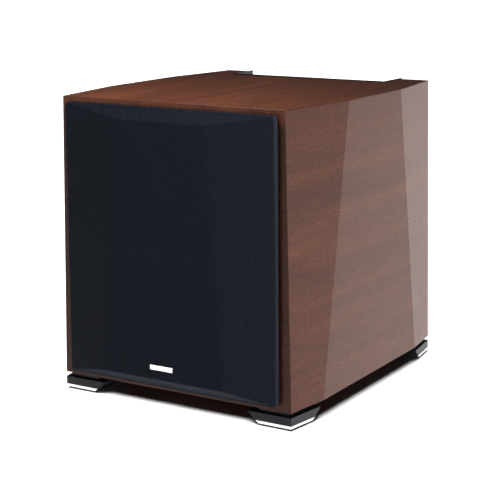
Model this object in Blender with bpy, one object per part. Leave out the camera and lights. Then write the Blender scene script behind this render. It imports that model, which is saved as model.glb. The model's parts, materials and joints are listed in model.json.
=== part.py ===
"""Powered fifteen-inch subwoofer in a faceted wooden cabinet.

The cabinet stands on four block feet, a pull-off cloth grille with five flats
covers the driver, and an amplifier sits in an open channel down the back.

Frame: +X to the listener's right, -Y out of the grille, +Z up. The origin is
the middle of the bounding box at floor level. All sizes are in metres.
"""

import math

import bmesh
import bpy
from mathutils import Vector

# ---------------------------------------------------------------- clearances
GAP = 0.0003
RUNNING_GAP = 0.0006
OVERSHOOT = 0.01

# ------------------------------------------------------------------- cabinet
CABINET_HEIGHT = 0.500
CABINET_DEPTH = 0.545
HALF_WIDTH = 0.246
FRONT_INSET_TOP = 0.024
FRONT_INSET_BOTTOM = 0.0125
FACET_SLOPE = 0.1395
FOOT_HEIGHT = 0.031
TOP_BOARD = 0.025
BOTTOM_BOARD = 0.025
SIDE_BOARD = 0.041
BAFFLE_BOARD = 0.030
BACK_BOARD = 0.022
BRACE_BOARD = 0.018
BRACE_PLACE = 0.262
BRACE_RAIL = 0.058
BRACE_BAR = 0.036

# --------------------------------------------------------------- rear channel
CHANNEL_HALF_WIDTH = 0.165
CHANNEL_DEPTH = 0.075
LINER_WALL = 0.002
LINER_LIP = 0.002

# -------------------------------------------------------------------- grille
GRILLE_MARGIN = 0.0085
GRILLE_SIDE_MARGIN_TOP = 0.013
GRILLE_SIDE_MARGIN_BOTTOM = 0.0215
GRILLE_RIM = 0.012
GRILLE_RELIEF_TOP = 0.031
GRILLE_RELIEF_BOTTOM = 0.035
GRILLE_FLAT_HALF_TOP = 0.082
GRILLE_FLAT_HALF_BOTTOM = 0.123
GRILLE_BEVEL = 0.0215
GRILLE_STANDOFF = 0.002
CLOTH = 0.001
FRAME_WALL = 0.008
FRAME_CLEARANCE = 0.0005
SLOT_COLUMNS = 6
SLOT_ROWS = 3
SLOT_WIDTH = 0.050
SLOT_HEIGHT = 0.120
SLOT_BAR = 0.013
PEG_RADIUS = 0.0035
PEG_INSET_SIDE = 0.022
PEG_INSET_END = 0.0255
PEG_REACH = 0.012
PEG_HOLD = 0.007
SOCKET_RADIUS = 0.0057
SOCKET_FLANGE = 0.0075
SOCKET_DEPTH = 0.014
SOCKET_LIP = 0.0013
PEG_BLOCK_IN = (0.011, 0.013)
PEG_BLOCK_OUT = (0.0155, 0.019)
BADGE_HEIGHT_ABOVE_BASE = 0.051
BADGE_WIDTH = 0.046
BADGE_TALL = 0.009
BADGE_THICK = 0.0012

# -------------------------------------------------------------------- driver
DRIVER_HEIGHT = 0.250
DRIVER_RECESS = 0.008
FLANGE_RADIUS = 0.194
FLANGE_FACE = 0.002
FLANGE_THICK = 0.008
CUTOUT_RADIUS = 0.178
BASKET_RADIUS = 0.1765
BASKET_BASE_RADIUS = 0.104
BASKET_DEPTH = 0.126
BASKET_WALL = 0.007
BASKET_SKIRT = 0.008
SKIRT_LEAD = 0.0015
BASKET_FLOOR = 0.005
BASKET_HOLE_MARGIN = 0.008
BASKET_WINDOWS = 12
WINDOW_SHARE = 0.6
WINDOW_START = 0.020
WINDOW_END = 0.012
WINDOW_INNER = 0.100
WINDOW_OUTER = 0.240
LEDGE_DEPTH = 0.100
LEDGE_WIDTH = 0.011
LEDGE_WALL = 0.005
CONE_RADIUS = 0.140
CONE_DEPTH = 0.078
CONE_WALL = 0.0022
CONE_FLAT = 0.007
CONE_EDGE = 0.0008
ROLL_OUTER_RADIUS = 0.1655
ROLL_THICK = 0.0014
ROLL_CLEARANCE = 0.0005
ROLL_LIP = 0.0125
TRIM_THICK = 0.003
TRIM_SHIFT = 0.001
SPIDER_WAVES = 3
SPIDER_WAVE = 0.0025
SPIDER_THICK = 0.0008
SPIDER_SEAT = 0.010
SPIDER_CLEARANCE = 0.0015
CAP_RADIUS = 0.0615
CAP_RISE = 0.018
CAP_WALL = 0.0014
CAP_PROUD = 0.0012
COIL_RADIUS = 0.038
FORMER_WALL = 0.0005
WINDING_WALL = 0.0017
WINDING_LENGTH = 0.028
FORMER_OVERHANG = 0.001
COIL_GAP = 0.0015
POLE_GAP = 0.001
TOP_PLATE_THICK = 0.012
MAGNET_THICK = 0.030
MAGNET_RADIUS = 0.090
MAGNET_SETBACK = 0.0085
BACK_PLATE_THICK = 0.012
PLATE_RADIUS = 0.085
VENT_RADIUS = 0.0125
BOLT_COUNT = 8
BOLT_CIRCLE = 0.1855
BOLT_RADIUS = 0.003
BOLT_LENGTH = 0.020
TERMINAL_SIZE = Vector((0.030, 0.016, 0.012))
TERMINAL_SETBACK = 0.008
TAB_SPREAD = 0.008
TAB_SIZE = Vector((0.006, 0.011, 0.0012))
TAB_ROOT = 0.003
TAB_RISE = 0.005
LEAD_RADIUS = 0.003
LEAD_PLACE = (0.060, 0.150)
DRIVER_SIDES = 32

# ---------------------------------------------------------------------- feet
FOOT_LENGTH_FRONT = 0.0855
FOOT_LENGTH_SIDE = 0.082
FOOT_TAPER = 1.15
FOOT_NECK = 0.008
FOOT_NECK_INSET = 0.009
FOOT_PLATE = 0.005
FOOT_SOLE = 0.0035
SOLE_INSET = 0.003
SOLE_SETBACK = 0.008
FOOT_SCREW_RADIUS = 0.003
FOOT_SCREW_HEAD = 0.006
FOOT_SCREW_HEAD_TALL = 0.004
FOOT_SCREW_LENGTH = 0.036
FOOT_SCREW_SPOTS = ((0.030, 0.045), (0.055, 0.025))
NECK_WELD = 0.004

# ----------------------------------------------------------------- amplifier
AMP_HALF_WIDTH = 0.150
AMP_BOTTOM = 0.040
AMP_HEIGHT = 0.420
AMP_PLATE = 0.003
AMP_MARGIN = 0.020
TUB_DEPTH = 0.112
TUB_WALL = 0.0015
TUB_CLEARANCE = 0.006
TOROID_RADIUS = 0.054
TOROID_HOLE = 0.018
TOROID_TALL = 0.045
TOROID_PLACE = (-0.045, 0.072)
SHEET_THICK = 0.0016
SHEET_SETBACK = 0.036
SHEET_SIDE_MARGIN = 0.012
SHEET_TOP_MARGIN = 0.010
SHEET_RISE = 0.150
CAN_RADIUS = 0.0175
CAN_LENGTH = 0.050
CAN_SPREAD = 0.040
CAN_RISE = 0.050
SINK_HALF_WIDTH = 0.130
SINK_BOTTOM = 0.225
SINK_HEIGHT = 0.225
SINK_BASE = 0.006
SINK_FINS = 19
FIN_THICK = 0.0025
SINK_BACK_CLEARANCE = 0.014
SCREW_ROWS = 6
SCREW_RADIUS = 0.0019
SCREW_LENGTH = 0.016

INLET_PLACE = (0.100, 0.095)
INLET_HALF = (0.0140, 0.0190)
INLET_FLANGE = 0.0035
INLET_DEPTH = 0.025
INLET_RIM = 0.0035
SOCKET_HALF = (0.0120, 0.0080)
SOCKET_RISE = 0.0085
SOCKET_DEEP = 0.018
BLADE_SPOTS = ((-0.007, -0.001), (0.0, 0.003), (0.007, -0.001))
BLADE_HALF = (0.001, 0.002)
BLADE_WELD = 0.002
DRAWER_HALF = (0.0110, 0.0045)
DRAWER_DROP = 0.0110
DRAWER_DEPTH = 0.018
DRAWER_PROUD = 0.0015
DRAWER_LIP_HALF = (0.004, 0.0012)
DRAWER_LIP_PROUD = 0.003
DRAWER_WELD = 0.001

SWITCH_PLACE = (0.100, 0.152)
SWITCH_HOLE = (0.0086, 0.0118)
SWITCH_WALL = 0.0025
SWITCH_FLANGE = 0.002
SWITCH_DEPTH = 0.016
SWITCH_RIM = 0.002
SWITCH_FLOOR = 0.002
ROCKER_HALF = (0.0080, 0.0100)
ROCKER_TILT = math.radians(10.0)
ROCKER_PIVOT = 0.001
ROCKER_DEEP = 0.007
ROCKER_RISE = 0.0045
ROCKER_DIP = 0.0018

KNOB_HEIGHT = 0.190
KNOB_PLACES = {"level_knob": 0.045, "cutoff_knob": -0.015, "phase_knob": -0.075}
KNOB_RADIUS = 0.011
KNOB_LENGTH = 0.016
KNOB_CHAMFER = 0.0015
KNOB_SKIRT = 0.0008
POINTER_HALF = 0.0008
POINTER_DEPTH = 0.001
POINTER_START = 0.003
SHAFT_RADIUS = 0.003
SHAFT_LENGTH = 0.012
POT_RADIUS = 0.008
POT_DEPTH = 0.012
POT_MARGIN = 0.002
POT_BOARD = 0.001

JACK_PLACES = [(x, z) for x in (0.030, 0.006) for z in (0.088, 0.114)]
JACK_RADIUS = 0.0041
JACK_BORE = 0.0017
JACK_LENGTH = 0.011
JACK_DEPTH = 0.012
JACK_FLOOR = 0.003
JACK_MARGIN = 0.004
MODE_PLACE = (-0.050, 0.100)
MODE_SLOT = (0.0065, 0.0028)
MODE_STEM = 0.0030
MODE_PROUD = 0.004
MODE_REACH = 0.002
LED_PLACE = (-0.095, 0.100)
LED_RADIUS = 0.0025
LED_REACH = 0.003
LED_PROUD = 0.0026
LED_SHOULDER = 0.0010

# ------------------------------------------------------------- derived frame
BASE_Z = FOOT_HEIGHT
TOP_Z = BASE_Z + CABINET_HEIGHT
HALF_FRONT_TOP = HALF_WIDTH - FRONT_INSET_TOP
HALF_FRONT_BOTTOM = HALF_WIDTH - FRONT_INSET_BOTTOM
FACET_LEAN = (HALF_FRONT_BOTTOM - HALF_FRONT_TOP) / CABINET_HEIGHT
SIDE_INNER = HALF_WIDTH - SIDE_BOARD
BOARD_LOW_Z = BASE_Z + BOTTOM_BOARD + GAP
BOARD_HIGH_Z = TOP_Z - TOP_BOARD - GAP


def relief_at(height):
    """How far the grille's middle flat stands in front of the baffle."""
    low = GRILLE_MARGIN + GRILLE_BEVEL
    high = CABINET_HEIGHT - GRILLE_MARGIN - GRILLE_BEVEL
    share = (height - low) / (high - low)
    return GRILLE_RELIEF_BOTTOM + share * (GRILLE_RELIEF_TOP - GRILLE_RELIEF_BOTTOM)


BADGE_BACK = relief_at(BADGE_HEIGHT_ABOVE_BASE - BADGE_TALL / 2) + GAP
FRONT_REACH = BADGE_BACK + BADGE_THICK
FRONT_Y = (FRONT_REACH - CABINET_DEPTH) / 2
BACK_Y = FRONT_Y + CABINET_DEPTH
CHANNEL_Y = BACK_Y - CHANNEL_DEPTH
BACK_BOARD_Y = CHANNEL_Y - LINER_WALL - GAP
PLATE_INNER_Y = CHANNEL_Y - LINER_WALL
PLATE_OUTER_Y = PLATE_INNER_Y + AMP_PLATE
DRIVER_CENTRE = Vector((0.0, FRONT_Y + DRIVER_RECESS, BASE_Z + DRIVER_HEIGHT))
FOOT_BODY_TOP = BASE_Z - FOOT_NECK
FOOT_BODY_BOTTOM = FOOT_SOLE + FOOT_PLATE + 2 * GAP

PALETTE = {
    "veneered board": ("#5C3A30", 0.45, 0.0),
    "raw board": ("#9B7A55", 0.85, 0.0),
    "black moulding": ("#17181A", 0.45, 0.0),
    "grille cloth": ("#20232A", 0.95, 0.0),
    "bright trim": ("#D5D8DA", 0.25, 1.0),
    "foot casting": ("#45464B", 0.50, 0.0),
    "rubber": ("#101010", 0.80, 0.0),
    "cast aluminium": ("#2C2D30", 0.45, 0.6),
    "plated steel": ("#A9ABAE", 0.35, 1.0),
    "ferrite": ("#2B2B2E", 0.70, 0.0),
    "cone paper": ("#1B1B1D", 0.75, 0.0),
    "spider cloth": ("#8A6B33", 0.90, 0.0),
    "copper winding": ("#8C4A26", 0.40, 0.9),
    "anodised aluminium": ("#1C1D1F", 0.40, 0.8),
    "bare sheet": ("#8E9194", 0.40, 0.9),
    "circuit board": ("#1F5A34", 0.50, 0.0),
    "capacitor sleeve": ("#20242C", 0.35, 0.0),
    "transformer tape": ("#A8862B", 0.60, 0.0),
    "black plastic": ("#121315", 0.40, 0.0),
    "lamp lens": ("#3C78C8", 0.20, 0.0),
    "brass": ("#B08D45", 0.30, 1.0),
    "cable sheath": ("#26262A", 0.60, 0.0),
}


# ------------------------------------------------------------ small helpers
def clear_scene():
    for item in list(bpy.data.objects):
        bpy.data.objects.remove(item, do_unlink=True)


def linear(channel):
    value = channel / 255.0
    if value <= 0.04045:
        return value / 12.92
    return ((value + 0.055) / 1.055) ** 2.4


def make_material(name):
    """A Principled material from the palette, made once and then shared."""
    if name in bpy.data.materials:
        return bpy.data.materials[name]
    code, roughness, metallic = PALETTE[name]
    material = bpy.data.materials.new(name)
    material.use_nodes = True
    shader = material.node_tree.nodes["Principled BSDF"]
    channels = [linear(int(code[i:i + 2], 16)) for i in (1, 3, 5)]
    shader.inputs["Base Color"].default_value = (*channels, 1.0)
    shader.inputs["Roughness"].default_value = roughness
    shader.inputs["Metallic"].default_value = metallic
    return material


def add_part(name, mesh_data, material, origin=(0.0, 0.0, 0.0), smooth=False):
    """Turn a bmesh in world coordinates into a named object at its origin."""
    origin = Vector(origin)
    bmesh.ops.recalc_face_normals(mesh_data, faces=mesh_data.faces[:])
    bmesh.ops.translate(mesh_data, verts=mesh_data.verts[:], vec=-origin)
    mesh = bpy.data.meshes.new(name)
    mesh_data.to_mesh(mesh)
    mesh_data.free()
    if smooth:
        mesh.shade_smooth()
        mesh.set_sharp_from_angle(angle=math.radians(35.0))
    mesh.materials.append(make_material(material))
    part = bpy.data.objects.new(name, mesh)
    part.location = origin
    bpy.context.scene.collection.objects.link(part)
    return part


def use_tool(part, mesh_data, operation="DIFFERENCE"):
    """Cut a part with a hidden tool object, or weld the tool's shape to it."""
    tool = add_part(f"tool_{part.name}_{len(part.modifiers)}", mesh_data, "raw board")
    tool.hide_render = True
    tool.display_type = "WIRE"
    boolean = part.modifiers.new("boolean", "BOOLEAN")
    boolean.operation = operation
    boolean.solver = "EXACT"
    boolean.use_self = True
    boolean.object = tool


def add_box(mesh_data, low, high):
    size = Vector(high) - Vector(low)
    middle = (Vector(high) + Vector(low)) / 2
    made = bmesh.ops.create_cube(mesh_data, size=1.0)["verts"]
    bmesh.ops.scale(mesh_data, verts=made, vec=size)
    bmesh.ops.translate(mesh_data, verts=made, vec=middle)
    return made


def box(low, high):
    mesh_data = bmesh.new()
    add_box(mesh_data, low, high)
    return mesh_data


def slice_off(mesh_data, point, normal):
    """Remove what lies past a plane and close the cut."""
    geometry = mesh_data.verts[:] + mesh_data.edges[:] + mesh_data.faces[:]
    bmesh.ops.bisect_plane(
        mesh_data, geom=geometry, dist=1e-7, plane_co=point, plane_no=normal, clear_outer=True
    )
    open_edges = [edge for edge in mesh_data.edges if edge.is_boundary]
    if open_edges:
        bmesh.ops.edgeloop_fill(mesh_data, edges=open_edges)


def add_prism(mesh_data, outline, along):
    """Extrude a closed outline of points by a vector."""
    corners = [mesh_data.verts.new(Vector(point)) for point in outline]
    face = mesh_data.faces.new(corners)
    grown = bmesh.ops.extrude_face_region(mesh_data, geom=[face])["geom"]
    moved = [item for item in grown if isinstance(item, bmesh.types.BMVert)]
    bmesh.ops.translate(mesh_data, verts=moved, vec=Vector(along))


def prism(outline, along):
    mesh_data = bmesh.new()
    add_prism(mesh_data, outline, along)
    return mesh_data


def add_turned(mesh_data, profile, centre, axis=(0.0, 1.0, 0.0), sides=DRIVER_SIDES):
    """Spin a profile of (radius, distance along axis) points round the axis."""
    axis = Vector(axis).normalized()
    centre = Vector(centre)
    outward = Vector((1.0, 0.0, 0.0))
    ring = [mesh_data.verts.new(centre + axis * reach + outward * radius) for radius, reach in profile]
    closed = profile[0][0] > 0.0 or profile[-1][0] > 0.0
    pairs = list(zip(ring, ring[1:]))
    if closed:
        pairs.append((ring[-1], ring[0]))
    edges = [mesh_data.edges.new(pair) for pair in pairs]
    before = set(mesh_data.verts) - set(ring)
    bmesh.ops.spin(
        mesh_data, geom=ring + edges, cent=centre, axis=axis, angle=2 * math.pi,
        steps=sides, use_merge=True, use_duplicate=False,
    )
    made = [vert for vert in mesh_data.verts if vert not in before]
    bmesh.ops.remove_doubles(mesh_data, verts=made, dist=1e-6)


def turned(profile, centre, axis=(0.0, 1.0, 0.0), sides=DRIVER_SIDES):
    mesh_data = bmesh.new()
    add_turned(mesh_data, profile, centre, axis, sides)
    return mesh_data


def rod_profile(radius, start, end):
    return [(0.0, start), (radius, start), (radius, end), (0.0, end)]


def tube_profile(inner, outer, start, end):
    return [(inner, start), (outer, start), (outer, end), (inner, end)]


def on_plate(place, depth=0.0):
    """A point on the amplifier plate's outer face, at (x, height above base)."""
    return Vector((place[0], PLATE_OUTER_Y + depth, BASE_Z + place[1]))


def around_driver(count, radius, phase=0.5):
    """Points on a circle round the driver's axis, level with its seat."""
    step = 2 * math.pi / count
    angles = [(index + phase) * step for index in range(count)]
    return [DRIVER_CENTRE + radius * Vector((math.cos(a), 0.0, math.sin(a))) for a in angles]


# ------------------------------------------------------------------- cabinet
def facet_planes():
    """The four leaning flats that taper the sides to the front and back."""
    planes = []
    for side in (-1, 1):
        for end_y, toward in ((FRONT_Y, -1), (BACK_Y, 1)):
            point = Vector((side * HALF_FRONT_BOTTOM, end_y, BASE_Z))
            planes.append((point, Vector((side, toward * FACET_SLOPE, FACET_LEAN))))
    return planes


def board(name, low, high, material="veneered board"):
    """A box trimmed to the cabinet's outer flats."""
    mesh_data = box(low, high)
    for point, normal in facet_planes():
        slice_off(mesh_data, point, normal)
    return add_part(name, mesh_data, material)


def channel_cutter():
    half = CHANNEL_HALF_WIDTH + LINER_WALL + GAP
    low = (-half, BACK_BOARD_Y, BASE_Z - OVERSHOOT)
    high = (half, BACK_Y + OVERSHOOT, TOP_Z + OVERSHOOT)
    return box(low, high)


def peg_places():
    """Grille peg axes on the baffle's front plane, one near each corner."""
    places = []
    for side in (-1, 1):
        for low_end in (True, False):
            inset = GRILLE_SIDE_MARGIN_BOTTOM if low_end else GRILLE_SIDE_MARGIN_TOP
            reach = (HALF_FRONT_BOTTOM if low_end else HALF_FRONT_TOP) - inset - PEG_INSET_SIDE
            rise = GRILLE_MARGIN + PEG_INSET_END
            height = BASE_Z + rise if low_end else TOP_Z - rise
            places.append(Vector((side * reach, FRONT_Y, height)))
    return places


def foot_corners():
    for side in (-1, 1):
        for end in (-1, 1):
            yield side, end


def foot_screw_places():
    """Two screws in each foot, on the cabinet's underside."""
    places = []
    for side, end in foot_corners():
        end_y = FRONT_Y if end < 0 else BACK_Y
        for across, along in FOOT_SCREW_SPOTS:
            x = side * (HALF_FRONT_BOTTOM - across)
            y = end_y - end * along
            places.append(Vector((x, y, FOOT_BODY_BOTTOM)))
    return places


def build_boards():
    top = board(
        "cabinet_top", (-HALF_WIDTH, FRONT_Y, TOP_Z - TOP_BOARD), (HALF_WIDTH, BACK_Y, TOP_Z)
    )
    use_tool(top, channel_cutter())

    bottom = board(
        "cabinet_bottom", (-HALF_WIDTH, FRONT_Y, BASE_Z), (HALF_WIDTH, BACK_Y, BASE_Z + BOTTOM_BOARD)
    )
    cutter = channel_cutter()
    for place in foot_screw_places():
        hole = rod_profile(FOOT_SCREW_RADIUS + GAP, 0.0, FOOT_SCREW_LENGTH + GAP)
        add_turned(cutter, hole, place, (0.0, 0.0, 1.0), 10)
    use_tool(bottom, cutter)

    baffle = board(
        "front_baffle",
        (-HALF_WIDTH, FRONT_Y, BOARD_LOW_Z),
        (HALF_WIDTH, FRONT_Y + BAFFLE_BOARD, BOARD_HIGH_Z),
    )
    rebate = FLANGE_FACE + FLANGE_THICK + GAP
    steps = [
        (0.0, -DRIVER_RECESS - OVERSHOOT),
        (FLANGE_RADIUS + RUNNING_GAP, -DRIVER_RECESS - OVERSHOOT),
        (FLANGE_RADIUS + RUNNING_GAP, rebate),
        (CUTOUT_RADIUS, rebate),
        (CUTOUT_RADIUS, BAFFLE_BOARD + OVERSHOOT),
        (0.0, BAFFLE_BOARD + OVERSHOOT),
    ]
    cutter = turned(steps, DRIVER_CENTRE)
    for place in around_driver(BOLT_COUNT, BOLT_CIRCLE):
        hole = rod_profile(BOLT_RADIUS + GAP, FLANGE_FACE, BOLT_LENGTH)
        add_turned(cutter, hole, place, sides=10)
    for place in peg_places():
        hole = rod_profile(SOCKET_RADIUS + GAP, -OVERSHOOT, SOCKET_DEPTH + GAP)
        add_turned(cutter, hole, place, sides=12)
    use_tool(baffle, cutter)

    for side, name in ((-1, "side_panel_left"), (1, "side_panel_right")):
        inner, outer = sorted((side * SIDE_INNER, side * HALF_WIDTH))
        board(name, (inner, FRONT_Y + BAFFLE_BOARD + GAP, BOARD_LOW_Z), (outer, BACK_Y, BOARD_HIGH_Z))
        inner, outer = sorted(
            (side * (CHANNEL_HALF_WIDTH + LINER_WALL + GAP), side * (SIDE_INNER - GAP))
        )
        post = name.replace("side_panel", "rear_post")
        board(post, (inner, BACK_BOARD_Y + GAP, BOARD_LOW_Z), (outer, BACK_Y, BOARD_HIGH_Z))


def amp_screw_places():
    """Screws down both sides of the plate and one at each end."""
    edge = AMP_MARGIN / 2
    low = AMP_BOTTOM + edge
    pitch = (AMP_HEIGHT - 2 * edge) / (SCREW_ROWS - 1)
    rows = [low + row * pitch for row in range(SCREW_ROWS)]
    places = [(side * (AMP_HALF_WIDTH - edge), row) for side in (-1, 1) for row in rows]
    places += [(0.0, rows[0]), (0.0, rows[-1])]
    return places


def build_back_panel():
    """The board that closes the cabinet behind the amplifier, and the brace."""
    half = SIDE_INNER - GAP
    panel = add_part(
        "back_panel",
        box((-half, BACK_BOARD_Y - BACK_BOARD, BOARD_LOW_Z), (half, BACK_BOARD_Y, BOARD_HIGH_Z)),
        "raw board",
    )
    window = AMP_HALF_WIDTH - AMP_MARGIN
    cutter = box(
        (-window, BACK_BOARD_Y - BACK_BOARD - OVERSHOOT, BASE_Z + AMP_BOTTOM + AMP_MARGIN),
        (window, BACK_BOARD_Y + OVERSHOOT, BASE_Z + AMP_BOTTOM + AMP_HEIGHT - AMP_MARGIN),
    )
    for x, height in amp_screw_places():
        hole = rod_profile(SCREW_RADIUS + GAP, -OVERSHOOT, SCREW_LENGTH + GAP)
        add_turned(cutter, hole, on_plate((x, height)), (0.0, -1.0, 0.0), 8)
    use_tool(panel, cutter)

    near = FRONT_Y + BRACE_PLACE
    brace = add_part(
        "window_brace",
        box((-half, near, BOARD_LOW_Z), (half, near + BRACE_BOARD, BOARD_HIGH_Z)),
        "raw board",
    )
    cutter = bmesh.new()
    middle = (BOARD_LOW_Z + BOARD_HIGH_Z) / 2
    for side in (-1, 1):
        left, right = sorted((side * BRACE_BAR / 2, side * (half - BRACE_RAIL)))
        for end in (-1, 1):
            edge = BOARD_LOW_Z + BRACE_RAIL if end < 0 else BOARD_HIGH_Z - BRACE_RAIL
            low, high = sorted((middle + end * BRACE_BAR / 2, edge))
            far = near + BRACE_BOARD + OVERSHOOT
            add_box(cutter, (left, near - OVERSHOOT, low), (right, far, high))
    use_tool(brace, cutter)


def build_liner():
    """The black moulding that lines the channel and stands proud on the top."""
    inner = CHANNEL_HALF_WIDTH
    outer = inner + LINER_WALL
    near = CHANNEL_Y - LINER_WALL
    outline = [
        (-outer, near, BASE_Z), (outer, near, BASE_Z), (outer, BACK_Y, BASE_Z),
        (inner, BACK_Y, BASE_Z), (inner, CHANNEL_Y, BASE_Z), (-inner, CHANNEL_Y, BASE_Z),
        (-inner, BACK_Y, BASE_Z), (-outer, BACK_Y, BASE_Z),
    ]
    liner = add_part(
        "rear_liner", prism(outline, (0.0, 0.0, CABINET_HEIGHT + LINER_LIP)), "black moulding"
    )
    half = AMP_HALF_WIDTH + RUNNING_GAP
    low = BASE_Z + AMP_BOTTOM - RUNNING_GAP
    high = BASE_Z + AMP_BOTTOM + AMP_HEIGHT + RUNNING_GAP
    use_tool(liner, box((-half, near - OVERSHOOT, low), (half, CHANNEL_Y + OVERSHOOT, high)))


# ---------------------------------------------------------------------- feet
def foot_block(side, end, top, bottom, inset=0.0, setback=0.0):
    """One layer of a tapered corner foot, between two heights.

    The inset draws its outer flats in, and the setback its two tapered ends.
    """
    end_y = FRONT_Y if end < 0 else BACK_Y
    far_x = side * (HALF_FRONT_BOTTOM - FOOT_LENGTH_FRONT)
    far_y = end_y - end * FOOT_LENGTH_SIDE
    low_x, high_x = sorted((far_x, side * HALF_WIDTH))
    low_y, high_y = sorted((far_y, end_y))
    block = box((low_x, low_y, bottom), (high_x, high_y, top))
    corner = Vector((side * (HALF_FRONT_BOTTOM - inset), end_y, top))
    slice_off(block, corner, Vector((side, end * FACET_SLOPE, 0.0)))
    slice_off(block, Vector((side * (HALF_WIDTH - inset), end_y, top)), Vector((side, 0.0, 0.0)))
    slice_off(block, Vector((0.0, end_y - end * inset, top)), Vector((0.0, end, 0.0)))
    start = FOOT_BODY_TOP
    slice_off(block, Vector((far_x + side * setback, 0.0, start)), Vector((-side, 0.0, -FOOT_TAPER)))
    slice_off(block, Vector((0.0, far_y + end * setback, start)), Vector((0.0, -end, -FOOT_TAPER)))
    return block


def build_feet():
    screws = foot_screw_places()
    for index, (side, end) in enumerate(foot_corners()):
        corner = f"{'front' if end < 0 else 'rear'}_{'left' if side < 0 else 'right'}"
        body = add_part(
            f"foot_body_{corner}",
            foot_block(side, end, FOOT_BODY_TOP, FOOT_BODY_BOTTOM),
            "foot casting",
        )
        end_y = FRONT_Y if end < 0 else BACK_Y
        near_x = side * (HALF_FRONT_BOTTOM - FOOT_NECK_INSET)
        far_x = side * (HALF_FRONT_BOTTOM - FOOT_LENGTH_FRONT + 2 * FOOT_NECK_INSET)
        near_y = end_y - end * FOOT_NECK_INSET
        far_y = end_y - end * (FOOT_LENGTH_SIDE - 2 * FOOT_NECK_INSET)
        low_x, high_x = sorted((near_x, far_x))
        low_y, high_y = sorted((near_y, far_y))
        neck = box((low_x, low_y, FOOT_BODY_TOP - NECK_WELD), (high_x, high_y, BASE_Z - GAP))
        use_tool(body, neck, "UNION")
        cutter = bmesh.new()
        for place in screws[2 * index:2 * index + 2]:
            hole = [
                (0.0, -OVERSHOOT),
                (FOOT_SCREW_HEAD + GAP, -OVERSHOOT),
                (FOOT_SCREW_HEAD + GAP, FOOT_SCREW_HEAD_TALL + 2 * GAP),
                (FOOT_SCREW_RADIUS + GAP, FOOT_SCREW_HEAD_TALL + 2 * GAP),
                (FOOT_SCREW_RADIUS + GAP, FOOT_HEIGHT),
                (0.0, FOOT_HEIGHT),
            ]
            add_turned(cutter, hole, place, (0.0, 0.0, 1.0), 10)
        use_tool(body, cutter)

        plate = foot_block(side, end, FOOT_SOLE + GAP + FOOT_PLATE, FOOT_SOLE + GAP)
        add_part(f"foot_plate_{corner}", plate, "bright trim")
        sole = foot_block(side, end, FOOT_SOLE, 0.0, SOLE_INSET, SOLE_SETBACK)
        add_part(f"foot_sole_{corner}", sole, "rubber")


# -------------------------------------------------------------------- grille
def grille_layer(mesh_data, inset, strips=4):
    """One skin of the five-flat grille, drawn inwards by an inset.

    Returns the skin's back edge, a loop that runs round the grille.
    """
    low = BASE_Z + GRILLE_MARGIN + inset
    high = TOP_Z - GRILLE_MARGIN - inset
    flat_low = BASE_Z + GRILLE_MARGIN + GRILLE_BEVEL
    flat_high = TOP_Z - GRILLE_MARGIN - GRILLE_BEVEL
    half_low = HALF_FRONT_BOTTOM - GRILLE_SIDE_MARGIN_BOTTOM - inset
    half_high = HALF_FRONT_TOP - GRILLE_SIDE_MARGIN_TOP - inset
    rim = FRONT_Y - GRILLE_RIM + inset
    back = FRONT_Y - GRILLE_STANDOFF
    face_low = FRONT_Y - GRILLE_RELIEF_BOTTOM + inset
    face_high = FRONT_Y - GRILLE_RELIEF_TOP + inset

    def column(side, start, end):
        points = [Vector(start).lerp(Vector(end), step / strips) for step in range(strips + 1)]
        return [mesh_data.verts.new(Vector((side * p.x, p.y, p.z))) for p in points]

    sides = {}
    for side in (-1, 1):
        outer = column(side, (half_low, rim, low), (half_high, rim, high))
        bottom_corner = (GRILLE_FLAT_HALF_BOTTOM, face_low, flat_low)
        inner = column(side, bottom_corner, (GRILLE_FLAT_HALF_TOP, face_high, flat_high))
        edge = column(side, (half_low, back, low), (half_high, back, high))
        sides[side] = (outer, inner, edge)
        for index in range(strips):
            mesh_data.faces.new((outer[index], outer[index + 1], inner[index]))
            mesh_data.faces.new((outer[index + 1], inner[index + 1], inner[index]))
            mesh_data.faces.new((outer[index], outer[index + 1], edge[index + 1], edge[index]))
    left, right = sides[-1], sides[1]
    mesh_data.faces.new(left[1] + right[1][::-1])
    for end in (0, -1):
        mesh_data.faces.new((left[0][end], left[1][end], right[1][end], right[0][end]))
        mesh_data.faces.new((left[0][end], left[2][end], right[2][end], right[0][end]))
    return left[2] + right[2][::-1]


def grille_shell(outer_inset, inner_inset):
    """A closed shell between two skins of the grille's shape."""
    mesh_data = bmesh.new()
    outer = grille_layer(mesh_data, outer_inset)
    inner = grille_layer(mesh_data, inner_inset)
    count = len(outer)
    for index in range(count):
        after = (index + 1) % count
        mesh_data.faces.new((outer[index], outer[after], inner[after], inner[index]))
    return mesh_data


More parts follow.
